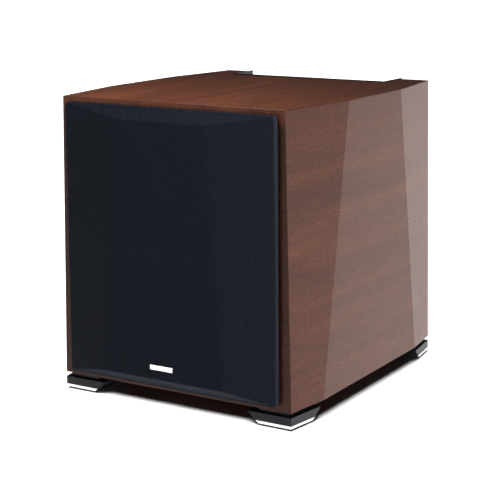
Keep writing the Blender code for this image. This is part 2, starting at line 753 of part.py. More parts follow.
def build_grille():
    add_part("grille_cloth", grille_shell(0.0, CLOTH), "grille cloth")

    skin = CLOTH + FRAME_CLEARANCE
    frame = add_part("grille_frame", grille_shell(skin, skin + FRAME_WALL), "black moulding")
    blocks = bmesh.new()
    for place in peg_places():
        out_x = math.copysign(1.0, place.x)
        out_z = math.copysign(1.0, place.z - DRIVER_CENTRE.z)
        ends = (place.x - out_x * PEG_BLOCK_IN[0], place.x + out_x * PEG_BLOCK_OUT[0])
        low_x, high_x = sorted(ends)
        ends = (place.z - out_z * PEG_BLOCK_IN[1], place.z + out_z * PEG_BLOCK_OUT[1])
        low_z, high_z = sorted(ends)
        low = (low_x, FRONT_Y - GRILLE_RIM + skin + GAP, low_z)
        add_box(blocks, low, (high_x, FRONT_Y - GRILLE_STANDOFF, high_z))
    use_tool(frame, blocks, "UNION")

    cutter = bmesh.new()
    column_pitch = SLOT_WIDTH + SLOT_BAR
    row_pitch = SLOT_HEIGHT + SLOT_BAR
    middle_z = (BASE_Z + TOP_Z) / 2
    for column in range(SLOT_COLUMNS):
        x = (column - (SLOT_COLUMNS - 1) / 2) * column_pitch
        for row in range(SLOT_ROWS):
            z = middle_z + (row - (SLOT_ROWS - 1) / 2) * row_pitch
            add_box(
                cutter,
                (x - SLOT_WIDTH / 2, FRONT_Y - GRILLE_RELIEF_BOTTOM - OVERSHOOT, z - SLOT_HEIGHT / 2),
                (x + SLOT_WIDTH / 2, FRONT_Y + OVERSHOOT, z + SLOT_HEIGHT / 2),
            )
    use_tool(frame, cutter)
    pegs = bmesh.new()
    for place in peg_places():
        peg = rod_profile(PEG_RADIUS, -GRILLE_STANDOFF - PEG_HOLD, PEG_REACH)
        add_turned(pegs, peg, place, sides=12)
    use_tool(frame, pegs, "UNION")

    bore = PEG_RADIUS + RUNNING_GAP
    for place in peg_places():
        cup = [
            (0.0, SOCKET_DEPTH),
            (SOCKET_RADIUS, SOCKET_DEPTH),
            (SOCKET_RADIUS, -GAP),
            (SOCKET_FLANGE, -GAP),
            (SOCKET_FLANGE, -SOCKET_LIP),
            (bore, -SOCKET_LIP),
            (bore, PEG_REACH + GAP),
            (0.0, PEG_REACH + GAP),
        ]
        side = "left" if place.x < 0 else "right"
        level = "lower" if place.z < DRIVER_CENTRE.z else "upper"
        name = f"grille_socket_{level}_{side}"
        add_part(name, turned(cup, place, sides=12), "rubber", smooth=True)

    middle = BASE_Z + BADGE_HEIGHT_ABOVE_BASE
    badge = box(
        (-BADGE_WIDTH / 2, FRONT_Y - BADGE_BACK - BADGE_THICK, middle - BADGE_TALL / 2),
        (BADGE_WIDTH / 2, FRONT_Y - BADGE_BACK, middle + BADGE_TALL / 2),
    )
    add_part("grille_badge", badge, "bright trim")


# -------------------------------------------------------------------- driver
def build_basket():
    near = FLANGE_FACE
    rear = near + FLANGE_THICK
    base = BASKET_BASE_RADIUS
    hole = COIL_RADIUS + BASKET_HOLE_MARGIN
    ledge = base - LEDGE_WALL - LEDGE_WIDTH
    profile = [
        (ROLL_OUTER_RADIUS, near),
        (FLANGE_RADIUS, near),
        (FLANGE_RADIUS, rear),
        (BASKET_RADIUS, rear),
        (BASKET_RADIUS, rear + BASKET_SKIRT),
        (base, LEDGE_DEPTH + BASKET_FLOOR),
        (base, BASKET_DEPTH),
        (hole, BASKET_DEPTH),
        (hole, BASKET_DEPTH - BASKET_FLOOR),
        (ledge, BASKET_DEPTH - BASKET_FLOOR),
        (ledge, LEDGE_DEPTH),
        (base - LEDGE_WALL, LEDGE_DEPTH),
        (BASKET_RADIUS - BASKET_WALL, rear + BASKET_SKIRT - SKIRT_LEAD),
        (ROLL_OUTER_RADIUS, rear),
    ]
    basket = add_part("driver_basket", turned(profile, DRIVER_CENTRE), "cast aluminium", smooth=True)
    cutter = bmesh.new()
    step = 2 * math.pi / BASKET_WINDOWS
    spread = step / 2 * WINDOW_SHARE
    first = DRIVER_CENTRE.y + rear + WINDOW_START
    last = DRIVER_CENTRE.y + LEDGE_DEPTH - WINDOW_END
    corners = ((WINDOW_INNER, -1), (WINDOW_OUTER, -1), (WINDOW_OUTER, 1), (WINDOW_INNER, 1))
    for index in range(BASKET_WINDOWS):
        angle = (index + 0.5) * step
        outline = []
        for radius, turn in corners:
            at = angle + turn * spread
            outline.append(
                (radius * math.cos(at), first, DRIVER_CENTRE.z + radius * math.sin(at))
            )
        add_prism(cutter, outline, (0.0, last - first, 0.0))
    for place in around_driver(BOLT_COUNT, BOLT_CIRCLE):
        add_turned(cutter, rod_profile(BOLT_RADIUS + GAP, -OVERSHOOT, BOLT_LENGTH), place, sides=10)
    use_tool(basket, cutter)


def cone_face(radius):
    """Depth of the cone's front surface behind the driver's seat at a radius."""
    flat = CONE_RADIUS - CONE_FLAT
    return GAP + (flat - radius) * (CONE_DEPTH - GAP) / (flat - COIL_RADIUS)


def build_moving_parts():
    """Cone, cap, former and winding: the pieces that move along the axis."""
    neck = COIL_RADIUS + GAP
    flat = CONE_RADIUS - CONE_FLAT
    back = GAP + CONE_WALL + CONE_EDGE
    profile = [
        (CONE_RADIUS, GAP),
        (flat, GAP),
        (neck, cone_face(neck)),
        (neck, cone_face(neck) + CONE_WALL),
        (flat, back),
        (CONE_RADIUS, back),
    ]
    add_part("driver_cone", turned(profile, DRIVER_CENTRE), "cone paper", DRIVER_CENTRE, True)

    rim = cone_face(CAP_RADIUS) - CAP_PROUD - CAP_WALL
    arcs = 4
    outside = []
    for index in range(arcs + 1):
        share = 1 - index / arcs
        outside.append((CAP_RADIUS * share, rim - CAP_RISE * (1 - share ** 2)))
    inside = [(radius, reach + CAP_WALL) for radius, reach in reversed(outside)]
    cap = turned(outside + inside, DRIVER_CENTRE)
    add_part("driver_dust_cap", cap, "cone paper", DRIVER_CENTRE, True)

    start = CONE_DEPTH - FORMER_OVERHANG
    winding = BASKET_DEPTH + TOP_PLATE_THICK / 2 - WINDING_LENGTH / 2
    end = winding + WINDING_LENGTH + FORMER_OVERHANG
    former = tube_profile(COIL_RADIUS - FORMER_WALL, COIL_RADIUS, start, end)
    add_part("voice_coil_former", turned(former, DRIVER_CENTRE), "bare sheet", DRIVER_CENTRE, True)
    inner = COIL_RADIUS + GAP
    coil = tube_profile(inner, inner + WINDING_WALL, winding, winding + WINDING_LENGTH)
    add_part("voice_coil_winding", turned(coil, DRIVER_CENTRE), "copper winding", DRIVER_CENTRE, True)


def build_suspension():
    """The half-roll surround, the corrugated spider and the trim ring."""
    start = CONE_RADIUS + ROLL_CLEARANCE
    middle = (start + ROLL_OUTER_RADIUS) / 2
    roll = (ROLL_OUTER_RADIUS - start) / 2
    base = FLANGE_FACE - GAP
    arcs = 6
    reach = roll - ROLL_THICK
    over = []
    under = []
    for index in range(arcs + 1):
        angle = math.pi * index / arcs
        over.append((middle - roll * math.cos(angle), base - ROLL_THICK - roll * math.sin(angle)))
        under.append((middle - reach * math.cos(angle), base - reach * math.sin(angle)))
    lip = ROLL_OUTER_RADIUS + ROLL_LIP
    profile = over + [(lip, base - ROLL_THICK), (lip, base)] + under[::-1] + [(start, base)]
    add_part("driver_surround", turned(profile, DRIVER_CENTRE), "rubber", smooth=True)

    seat = base - ROLL_THICK - GAP
    ring = tube_profile(ROLL_OUTER_RADIUS + TRIM_SHIFT, lip + TRIM_SHIFT, seat - TRIM_THICK, seat)
    add_part("driver_trim_ring", turned(ring, DRIVER_CENTRE), "rubber", smooth=True)

    inner = COIL_RADIUS + RUNNING_GAP
    outer = BASKET_BASE_RADIUS - LEDGE_WALL - SPIDER_CLEARANCE
    ledge = outer - SPIDER_SEAT
    points = SPIDER_WAVES * 4
    face = LEDGE_DEPTH - GAP - SPIDER_THICK
    front = []
    for index in range(points + 1):
        radius = inner + (ledge - inner) * index / points
        front.append((radius, face - SPIDER_WAVE * math.sin(math.pi * index / 2)))
    front.append((outer, face))
    back = [(radius, reach + SPIDER_THICK) for radius, reach in reversed(front)]
    add_part("driver_spider", turned(front + back, DRIVER_CENTRE), "spider cloth", smooth=True)


def build_motor():
    """Top plate, ring magnet, and the back plate with its vented pole."""
    plate_near = BASKET_DEPTH + GAP
    plate_far = plate_near + TOP_PLATE_THICK
    hole = COIL_RADIUS + GAP + WINDING_WALL + COIL_GAP
    ring = tube_profile(hole, PLATE_RADIUS, plate_near, plate_far)
    add_part("driver_top_plate", turned(ring, DRIVER_CENTRE), "plated steel", smooth=True)

    magnet_near = plate_far + GAP
    magnet_far = magnet_near + MAGNET_THICK
    ring = tube_profile(hole + MAGNET_SETBACK, MAGNET_RADIUS, magnet_near, magnet_far)
    add_part("driver_magnet", turned(ring, DRIVER_CENTRE), "ferrite", smooth=True)

    yoke_near = magnet_far + GAP
    pole = COIL_RADIUS - FORMER_WALL - POLE_GAP
    profile = [
        (VENT_RADIUS, plate_near),
        (pole, plate_near),
        (pole, yoke_near),
        (PLATE_RADIUS, yoke_near),
        (PLATE_RADIUS, yoke_near + BACK_PLATE_THICK),
        (VENT_RADIUS, yoke_near + BACK_PLATE_THICK),
    ]
    add_part("driver_pole_plate", turned(profile, DRIVER_CENTRE), "plated steel", smooth=True)


def terminal_box():
    """Corners of the terminal block under the basket's base."""
    top = DRIVER_CENTRE.z - BASKET_BASE_RADIUS - GAP
    near = DRIVER_CENTRE.y + LEDGE_DEPTH + TERMINAL_SETBACK
    low = Vector((-TERMINAL_SIZE.x / 2, near, top - TERMINAL_SIZE.z))
    return low, low + TERMINAL_SIZE


def build_terminal_and_lead():
    low, high = terminal_box()
    block = add_part("driver_terminal", box(low, high), "black plastic")
    tabs = bmesh.new()
    root = Vector((-TAB_SIZE.x / 2, high.y - TAB_ROOT, low.z + TAB_RISE))
    for side in (-1, 1):
        corner = root + Vector((side * TAB_SPREAD, 0.0, 0.0))
        add_box(tabs, corner, corner + TAB_SIZE)
    use_tool(block, tabs, "UNION")

    middle = root + TAB_SIZE / 2
    start = Vector((0.0, root.y + TAB_SIZE.y + LEAD_RADIUS + GAP, middle.z))
    tub_face = PLATE_INNER_Y - GAP - TUB_DEPTH
    finish = Vector((LEAD_PLACE[0], tub_face - GAP, BASE_Z + LEAD_PLACE[1]))
    route = [
        start,
        start + Vector((0.002, 0.020, -0.004)),
        start + Vector((0.018, 0.055, -0.022)),
        start.lerp(finish, 0.55) + Vector((0.012, 0.0, -0.022)),
        finish + Vector((0.004, -0.040, -0.012)),
        finish + Vector((0.0, -0.014, 0.0)),
        finish,
    ]
    curve = bpy.data.curves.new("speaker_lead", "CURVE")
    curve.dimensions = "3D"
    curve.bevel_depth = LEAD_RADIUS
    curve.bevel_resolution = 2
    curve.use_fill_caps = True
    points = smooth_route(route, 5)
    spline = curve.splines.new("POLY")
    spline.points.add(len(points) - 1)
    for slot, point in zip(spline.points, points):
        slot.co = (*point, 1.0)
    curve.materials.append(make_material("cable sheath"))
    lead = bpy.data.objects.new("speaker_lead", curve)
    bpy.context.scene.collection.objects.link(lead)


def smooth_route(points, steps):
    """A Catmull-Rom curve through the points, with steps between each pair."""
    padded = [2 * points[0] - points[1]] + points + [2 * points[-1] - points[-2]]
    curve = []
    for index in range(1, len(padded) - 2):
        before, start, end, after = padded[index - 1:index + 3]
        for step in range(steps):
            t = step / steps
            bend = 2 * before - 5 * start + 4 * end - after
            twist = 3 * start - before - 3 * end + after
            curve.append(start + (end - before) * t / 2 + bend * t * t / 2 + twist * t * t * t / 2)
    curve.append(points[-1])
    return curve


# ----------------------------------------------------------------- amplifier
def window_on_plate(place, half, near, far):
    """A box that passes through the plate round a place on it."""
    centre = on_plate(place)
    low = (centre.x - half[0], near, centre.z - half[1])
    return low, (centre.x + half[0], far, centre.z + half[1])


def grow(half, margin):
    return half[0] + margin, half[1] + margin


def build_plate():
    plate = add_part(
        "amp_plate",
        box(
            (-AMP_HALF_WIDTH, PLATE_INNER_Y, BASE_Z + AMP_BOTTOM),
            (AMP_HALF_WIDTH, PLATE_OUTER_Y, BASE_Z + AMP_BOTTOM + AMP_HEIGHT),
        ),
        "anodised aluminium",
    )
    near, far = PLATE_INNER_Y - OVERSHOOT, PLATE_OUTER_Y + OVERSHOOT
    cutter = bmesh.new()
    add_box(cutter, *window_on_plate(INLET_PLACE, grow(INLET_HALF, GAP), near, far))
    switch_half = grow(SWITCH_HOLE, SWITCH_WALL + GAP)
    add_box(cutter, *window_on_plate(SWITCH_PLACE, switch_half, near, far))
    add_box(cutter, *window_on_plate(MODE_PLACE, MODE_SLOT, near, far))
    holes = [(place, SCREW_RADIUS, 8) for place in amp_screw_places()]
    holes += [((x, KNOB_HEIGHT), SHAFT_RADIUS, 12) for x in KNOB_PLACES.values()]
    holes += [(place, JACK_RADIUS, 12) for place in JACK_PLACES]
    holes.append((LED_PLACE, LED_RADIUS, 12))
    for place, radius, sides in holes:
        hole = rod_profile(radius + GAP, -AMP_PLATE - OVERSHOOT, OVERSHOOT)
        add_turned(cutter, hole, on_plate(place), sides=sides)
    use_tool(plate, cutter)


def build_heatsink():
    base = PLATE_OUTER_Y + GAP
    root = base + SINK_BASE
    tip = BACK_Y - SINK_BACK_CLEARANCE
    low = BASE_Z + SINK_BOTTOM
    pitch = (2 * SINK_HALF_WIDTH - FIN_THICK) / (SINK_FINS - 1)
    outline = [(-SINK_HALF_WIDTH, base, low), (SINK_HALF_WIDTH, base, low)]
    for index in reversed(range(SINK_FINS)):
        left = -SINK_HALF_WIDTH + index * pitch
        right = left + FIN_THICK
        foot = [(right, root, low), (left, root, low)]
        head = [(right, tip, low), (left, tip, low)]
        if index < SINK_FINS - 1:
            outline.append(foot[0])
        outline += head
        if index > 0:
            outline.append(foot[1])
    add_part("heatsink", prism(outline, (0.0, 0.0, SINK_HEIGHT)), "anodised aluminium")


def tub_limits():
    half = AMP_HALF_WIDTH - AMP_MARGIN - TUB_CLEARANCE
    low = BASE_Z + AMP_BOTTOM + AMP_MARGIN + TUB_CLEARANCE
    high = BASE_Z + AMP_BOTTOM + AMP_HEIGHT - AMP_MARGIN - TUB_CLEARANCE
    far = PLATE_INNER_Y - GAP
    return half, low, high, far - TUB_DEPTH, far


def build_electronics():
    """The sheet tub behind the plate and what it holds."""
    half, low, high, near, far = tub_limits()
    tub = add_part("amp_tub", box((-half, near, low), (half, far, high)), "bare sheet")
    wall = TUB_WALL
    space = box((-half + wall, near + wall, low + wall), (half - wall, far + OVERSHOOT, high - wall))
    use_tool(tub, space)

    floor = near + wall + GAP
    core = tube_profile(TOROID_HOLE, TOROID_RADIUS, 0.0, TOROID_TALL)
    centre = Vector((TOROID_PLACE[0], floor, low + TOROID_PLACE[1]))
    add_part("toroid_transformer", turned(core, centre, sides=24), "transformer tape", smooth=True)

    sheet = far - SHEET_SETBACK
    edge = half - SHEET_SIDE_MARGIN
    board_low = low + SHEET_RISE
    board_high = high - SHEET_TOP_MARGIN
    mesh_data = box((-edge, sheet, board_low), (edge, sheet + SHEET_THICK, board_high))
    add_part("amp_board", mesh_data, "circuit board")
    for name, x in (("capacitor_left", -CAN_SPREAD), ("capacitor_right", CAN_SPREAD)):
        place = Vector((x, sheet - GAP, board_low + CAN_RISE))
        can = turned(rod_profile(CAN_RADIUS, 0.0, CAN_LENGTH), place, (0.0, -1.0, 0.0), 16)
        add_part(name, can, "capacitor sleeve", smooth=True)


def build_inlet():
    """Mains inlet with its socket, three blades and a fuse drawer below."""
    near = PLATE_OUTER_Y - INLET_DEPTH
    face = PLATE_OUTER_Y + GAP + INLET_FLANGE
    body = add_part(
        "mains_inlet", box(*window_on_plate(INLET_PLACE, INLET_HALF, near, face)), "black plastic"
    )
    flange_half = grow(INLET_HALF, INLET_RIM)
    flange = box(*window_on_plate(INLET_PLACE, flange_half, PLATE_OUTER_Y + GAP, face))
    use_tool(body, flange, "UNION")
    socket_place = (INLET_PLACE[0], INLET_PLACE[1] + SOCKET_RISE)
    socket_floor = face - SOCKET_DEEP
    cutter = box(*window_on_plate(socket_place, SOCKET_HALF, socket_floor, face + OVERSHOOT))
    drawer_place = (INLET_PLACE[0], INLET_PLACE[1] - DRAWER_DROP)
    drawer_half = grow(DRAWER_HALF, RUNNING_GAP)
    drawer_floor = face - DRAWER_DEPTH - RUNNING_GAP
    add_box(cutter, *window_on_plate(drawer_place, drawer_half, drawer_floor, face + OVERSHOOT))
    use_tool(body, cutter)
    blades = bmesh.new()
    for across, up in BLADE_SPOTS:
        place = (socket_place[0] + across, socket_place[1] + up)
        low, high = window_on_plate(place, BLADE_HALF, socket_floor - BLADE_WELD, face - BLADE_WELD)
        add_box(blades, low, high)
    use_tool(body, blades, "UNION")

    front = face + DRAWER_PROUD
    body = box(*window_on_plate(drawer_place, DRAWER_HALF, face - DRAWER_DEPTH, front))
    drawer = add_part("fuse_drawer", body, "black plastic", on_plate(drawer_place))
    tip = face + DRAWER_LIP_PROUD
    lip = window_on_plate(drawer_place, DRAWER_LIP_HALF, front - DRAWER_WELD, tip)
    use_tool(drawer, box(*lip), "UNION")


def build_switch():
    outer = grow(SWITCH_HOLE, SWITCH_WALL)
    near = PLATE_OUTER_Y - SWITCH_DEPTH
    face = PLATE_OUTER_Y + GAP + SWITCH_FLANGE
    frame = add_part(
        "power_switch_frame", box(*window_on_plate(SWITCH_PLACE, outer, near, face)), "black plastic"
    )
    rim = grow(outer, SWITCH_RIM)
    flange = box(*window_on_plate(SWITCH_PLACE, rim, PLATE_OUTER_Y + GAP, face))
    use_tool(frame, flange, "UNION")
    floor = near + SWITCH_FLOOR
    use_tool(frame, box(*window_on_plate(SWITCH_PLACE, SWITCH_HOLE, floor, face + OVERSHOOT)))

    pivot = on_plate(SWITCH_PLACE, ROCKER_PIVOT)
    half_x, half_z = ROCKER_HALF
    edge = [(-half_z, -ROCKER_DEEP), (half_z, -ROCKER_DEEP), (half_z, ROCKER_RISE)]
    edge += [(0.0, ROCKER_DIP), (-half_z, ROCKER_RISE)]
    outline = [(pivot.x - half_x, pivot.y + out, pivot.z + up) for up, out in edge]
    rocker = add_part(
        "power_rocker", prism(outline, (2 * half_x, 0.0, 0.0)), "black plastic", pivot
    )
    rocker.rotation_euler.x = ROCKER_TILT


def build_controls():
    """Knobs on their potentiometers, jacks, the mode slider and the lamp."""
    pots = bmesh.new()
    body = PLATE_INNER_Y - GAP - PLATE_OUTER_Y
    for name, x in KNOB_PLACES.items():
        place = on_plate((x, KNOB_HEIGHT))
        profile = [
            (0.0, body - POT_DEPTH),
            (POT_RADIUS, body - POT_DEPTH),
            (POT_RADIUS, body),
            (SHAFT_RADIUS, body),
            (SHAFT_RADIUS, SHAFT_LENGTH),
            (0.0, SHAFT_LENGTH),
        ]
        add_turned(pots, profile, place, sides=12)
        bore = SHAFT_RADIUS + GAP
        profile = [
            (0.0, KNOB_LENGTH),
            (KNOB_RADIUS - KNOB_CHAMFER, KNOB_LENGTH),
            (KNOB_RADIUS, KNOB_LENGTH - KNOB_CHAMFER),
            (KNOB_RADIUS + KNOB_SKIRT, 2 * GAP),
            (bore, 2 * GAP),
            (bore, SHAFT_LENGTH + GAP),
            (0.0, SHAFT_LENGTH + GAP),
        ]
        knob = add_part(name, turned(profile, place, sides=24), "black plastic", place, True)
        tip = place.y + KNOB_LENGTH
        groove = box(
            (place.x - POINTER_HALF, tip - POINTER_DEPTH, place.z + POINTER_START),
            (place.x + POINTER_HALF, tip + OVERSHOOT, place.z + KNOB_RADIUS + OVERSHOOT),
        )
        use_tool(knob, groove)
    board = add_part("control_board", pots, "bare sheet", smooth=True)
    low = on_plate((min(KNOB_PLACES.values()), KNOB_HEIGHT), body - POT_DEPTH)
    high = on_plate((max(KNOB_PLACES.values()), KNOB_HEIGHT), body - POT_DEPTH)
    edge = Vector((POT_RADIUS + POT_MARGIN, POT_BOARD, POT_RADIUS + POT_MARGIN))
    use_tool(board, box(low - edge, high + edge), "UNION")

    jacks = bmesh.new()
    profile = [
        (0.0, body - JACK_DEPTH / 2),
        (JACK_RADIUS, body - JACK_DEPTH / 2),
        (JACK_RADIUS, JACK_LENGTH),
        (JACK_BORE, JACK_LENGTH),
        (JACK_BORE, JACK_FLOOR),
        (0.0, JACK_FLOOR),
    ]
    for place in JACK_PLACES:
        add_turned(jacks, profile, on_plate(place), sides=12)
    block = add_part("input_jacks", jacks, "brass", smooth=True)
    columns = [x for x, _ in JACK_PLACES]
    rows = [height for _, height in JACK_PLACES]
    margin = JACK_RADIUS + JACK_MARGIN
    low = on_plate((min(columns) - margin, min(rows) - margin), body - JACK_DEPTH)
    high = on_plate((max(columns) + margin, max(rows) + margin), body)
    use_tool(block, box(low, high), "UNION")

    stem = (MODE_STEM, MODE_SLOT[1] - RUNNING_GAP)
    near, far = PLATE_INNER_Y - MODE_REACH, PLATE_OUTER_Y + MODE_PROUD
    slider = box(*window_on_plate(MODE_PLACE, stem, near, far))
    add_part("mode_switch", slider, "black plastic", on_plate(MODE_PLACE))

    lamp = [
        (0.0, -AMP_PLATE - LED_REACH),
        (LED_RADIUS, -AMP_PLATE - LED_REACH),
        (LED_RADIUS, LED_SHOULDER),
        (LED_RADIUS * 0.7, (LED_SHOULDER + 3 * LED_PROUD) / 4),
        (0.0, LED_PROUD),
    ]
    add_part("status_lamp", turned(lamp, on_plate(LED_PLACE), sides=12), "lamp lens", smooth=True)


def main():
    clear_scene()
    build_boards()
    build_back_panel()
    build_liner()
    build_feet()
    build_grille()
    build_basket()
    build_moving_parts()
    build_suspension()
    build_motor()
    build_terminal_and_lead()
    build_plate()
    build_heatsink()
    build_electronics()
    build_inlet()
    build_switch()
    build_controls()


main()
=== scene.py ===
# %% [markdown]
# # A powered subwoofer in a walnut cabinet
# The real object is a heavy wooden box on four corner feet. A cloth grille with five flats
# pulls off its front, and an amplifier sits in an open channel down its back. The solids
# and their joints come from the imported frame, which never moves here. This lesson gives
# each piece its finished surface: first the tools and the light, then wood, cloth, feet,
# the driver behind the grille, and the amplifier.

import json
import math

import bmesh
import bpy
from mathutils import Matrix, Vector

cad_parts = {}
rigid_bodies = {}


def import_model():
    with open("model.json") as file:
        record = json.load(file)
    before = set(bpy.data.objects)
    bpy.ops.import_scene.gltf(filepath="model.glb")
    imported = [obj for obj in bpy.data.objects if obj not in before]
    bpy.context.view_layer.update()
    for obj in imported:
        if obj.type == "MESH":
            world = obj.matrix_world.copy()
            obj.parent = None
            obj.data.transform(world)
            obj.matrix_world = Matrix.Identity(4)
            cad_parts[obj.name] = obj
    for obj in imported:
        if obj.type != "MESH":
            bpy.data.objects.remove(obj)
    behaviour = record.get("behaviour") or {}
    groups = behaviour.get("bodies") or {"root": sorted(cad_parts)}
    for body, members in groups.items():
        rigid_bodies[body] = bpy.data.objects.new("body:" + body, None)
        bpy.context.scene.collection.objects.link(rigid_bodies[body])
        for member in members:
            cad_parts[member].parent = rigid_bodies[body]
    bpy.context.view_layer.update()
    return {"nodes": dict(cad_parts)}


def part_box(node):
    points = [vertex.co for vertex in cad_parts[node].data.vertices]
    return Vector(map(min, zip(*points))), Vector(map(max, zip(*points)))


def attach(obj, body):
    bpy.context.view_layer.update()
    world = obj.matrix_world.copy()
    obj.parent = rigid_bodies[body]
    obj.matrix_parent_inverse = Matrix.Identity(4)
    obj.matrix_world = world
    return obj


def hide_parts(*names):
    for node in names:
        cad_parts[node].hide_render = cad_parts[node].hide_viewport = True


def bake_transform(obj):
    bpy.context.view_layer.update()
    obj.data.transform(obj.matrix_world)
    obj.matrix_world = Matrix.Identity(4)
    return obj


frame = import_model()

# %% [markdown]
# Most places are read from the frame's own boxes, so the looks can't drift away from the
# solids. Only the numbers that a box doesn't hold, such as the slope of a flat, are given
# again here. Everything is in metres, with the floor at zero and the grille facing -Y.

# %% Places read from the frame
GAP = 0.0003
TOP_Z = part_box("cabinet_top")[1].z
BASE_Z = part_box("cabinet_bottom")[0].z
HALF_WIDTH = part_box("cabinet_top")[1].x
FRONT_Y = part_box("front_baffle")[0].y
BACK_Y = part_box("cabinet_top")[1].y
PLATE_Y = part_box("amp_plate")[1].y
BOARD, BAFFLE_BOARD = 0.025, 0.030
DRIVER_HEIGHT, DRIVER_RECESS = 0.250, 0.008
DRIVER = Vector((0.0, FRONT_Y + DRIVER_RECESS, BASE_Z + DRIVER_HEIGHT))
BOLTS, BOLT_CIRCLE, BOLT_HOLE = 8, 0.1855, 0.0033
CORNERS = ("lower_left", "lower_right", "upper_left", "upper_right")
HALF_FRONT_TOP = HALF_WIDTH - 0.024
HALF_FRONT_BOTTOM = HALF_WIDTH - 0.0125
FACET_SLOPE = 0.1395
FACET_LEAN = (HALF_FRONT_BOTTOM - HALF_FRONT_TOP) / (TOP_Z - BASE_Z)


def middle_of(node, y):
    """The middle of a solid as seen from the front, at a depth."""
    low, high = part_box(node)
    return Vector(((low.x + high.x) / 2, y, (low.z + high.z) / 2))


print("front", round(FRONT_Y, 4), "back", round(BACK_Y, 4), "plate", round(PLATE_Y, 4))

# %% [markdown]
# A few helpers serve every finish. `colour` turns an sRGB hex colour into the linear numbers
# that Blender's shaders use. `add` adds a node, sets it up and links it in one line, which
# keeps long node trees readable. `dress` links a colour, a relief and a gloss to the shader,
# because every finish ends that way, and `show` puts any new object into the scene.


# %% Colour and node helpers
def colour(code):
    channels = [int(code[i:i + 2], 16) / 255 for i in (1, 3, 5)]
    linear = [c / 12.92 if c <= 0.04045 else ((c + 0.055) / 1.055) ** 2.4 for c in channels]
    return (*linear, 1.0)


def add(tree, kind, inputs=None, stops=None, **settings):
    node = tree.nodes.new(kind)
    for name, value in settings.items():
        setattr(node, name, value)
    for name, value in (inputs or {}).items():
        if isinstance(value, bpy.types.NodeSocket):
            tree.links.new(value, node.inputs[name])
        else:
            node.inputs[name].default_value = value
    for index, (place, code) in enumerate(stops or []):
        ramp = node.color_ramp.elements
        stop = ramp[index] if index < 2 else ramp.new(place)
        stop.position = place
        stop.color = colour(code)
    return node


def start_finish(name, roughness, metallic=0.0):
    """A new material, with the numbers that are the same all over set on its shader."""
    material = bpy.data.materials.new(name)
    material.use_nodes = True
    shader = material.node_tree.nodes["Principled BSDF"]
    shader.inputs["Roughness"].default_value = roughness
    shader.inputs["Metallic"].default_value = metallic
    return material, material.node_tree, shader


def dress(tree, shader, tint, height, strength, distance, gloss=None):
    """Links a colour, a relief of some height and, if there is one, a varying gloss."""
    relief = {"Height": height, "Strength": strength, "Distance": distance}
    lift = add(tree, "ShaderNodeBump", relief)
    tree.links.new(tint, shader.inputs["Base Color"])
    tree.links.new(lift.outputs["Normal"], shader.inputs["Normal"])
    if gloss:
        tree.links.new(gloss, shader.inputs["Roughness"])


def show(name, data):
    """A new object, linked to the scene so that it is seen."""
    item = bpy.data.objects.new(name, data)
    bpy.context.scene.collection.objects.link(item)
    return item


print("helpers ready, mid grey is", round(colour("#808080")[0], 4))


# %% [markdown]
# Many finishes here are a plain colour that is broken up by a fine grain: moulded plastic,
# sprayed paint, rubber, paper pulp. One recipe makes them all. A noise sized in
# millimetres mixes two close colours and lifts the surface a little, and a second, slow
# noise changes the gloss, as handling and moulding do.


# %% A recipe for grained finishes
def grained(name, light, dark, roughness, grain_mm, lift_mm, metallic=0.0, spread=0.12):
    material, tree, shader = start_finish(name, roughness, metallic)
    place = add(tree, "ShaderNodeTexCoord").outputs["Object"]
    grain = add(tree, "ShaderNodeTexNoise", {"Vector": place, "Scale": 1000 / grain_mm, "Detail": 3.0})
    slow = add(tree, "ShaderNodeTexNoise", {"Vector": place, "Scale": 14.0, "Detail": 2.0})
    blend = add(
        tree, "ShaderNodeMath", {0: grain.outputs["Fac"], 1: slow.outputs["Fac"]}, operation="MULTIPLY"
    )
    tint = add(tree, "ShaderNodeValToRGB", {"Fac": blend.outputs[0]}, [(0.12, dark), (0.42, light)])
    gloss = add(
        tree, "ShaderNodeMapRange",
        {"Value": slow.outputs["Fac"], "To Min": roughness - spread / 2, "To Max": roughness + spread / 2},
    )
    dress(
        tree, shader, tint.outputs["Color"], grain.outputs["Fac"], 0.6, lift_mm / 1000,
        gloss.outputs["Result"],
    )
    return material


# %% [markdown]
# Brushed and rolled metal carries fine parallel scratches. The same noise does it once it
# is stretched: the pattern is squeezed across the brushing and left long along it. The
# scratches here are about a millimetre apart, coarser than real ones, so that they still
# show.


# %% A recipe for brushed metal
def brushed(name, light, dark, roughness, along, metallic=1.0, scratch_mm=0.9, lift_mm=0.02):
    material, tree, shader = start_finish(name, roughness, metallic)
    place = add(tree, "ShaderNodeTexCoord").outputs["Object"]
    fine = 1000 / scratch_mm
    stretch = [fine * (0.02 if axis == along else 1.0) for axis in range(3)]
    squeezed = add(tree, "ShaderNodeMapping", {"Vector": place, "Scale": stretch})
    lines = add(tree, "ShaderNodeTexNoise", {"Vector": squeezed.outputs[0], "Scale": 1.0, "Detail": 4.0})
    tint = add(tree, "ShaderNodeValToRGB", {"Fac": lines.outputs["Fac"]}, [(0.3, dark), (0.7, light)])
    gloss = add(
        tree, "ShaderNodeMapRange",
        {"Value": lines.outputs["Fac"], "To Min": roughness - 0.08, "To Max": roughness + 0.08},
    )
    dress(
        tree, shader, tint.outputs["Color"], lines.outputs["Fac"], 0.5, lift_mm / 1000,
        gloss.outputs["Result"],
    )
    return material


# %% [markdown]
# The studio comes before the pieces, because a finish can only be judged under its light.
# The camera stands in front and to the right, a little above the cabinet, with a long
# lens, so that parallel edges hardly converge. It is set by three angles, from which its
# axes are worked out, because that keeps the small roll separate from the turn.

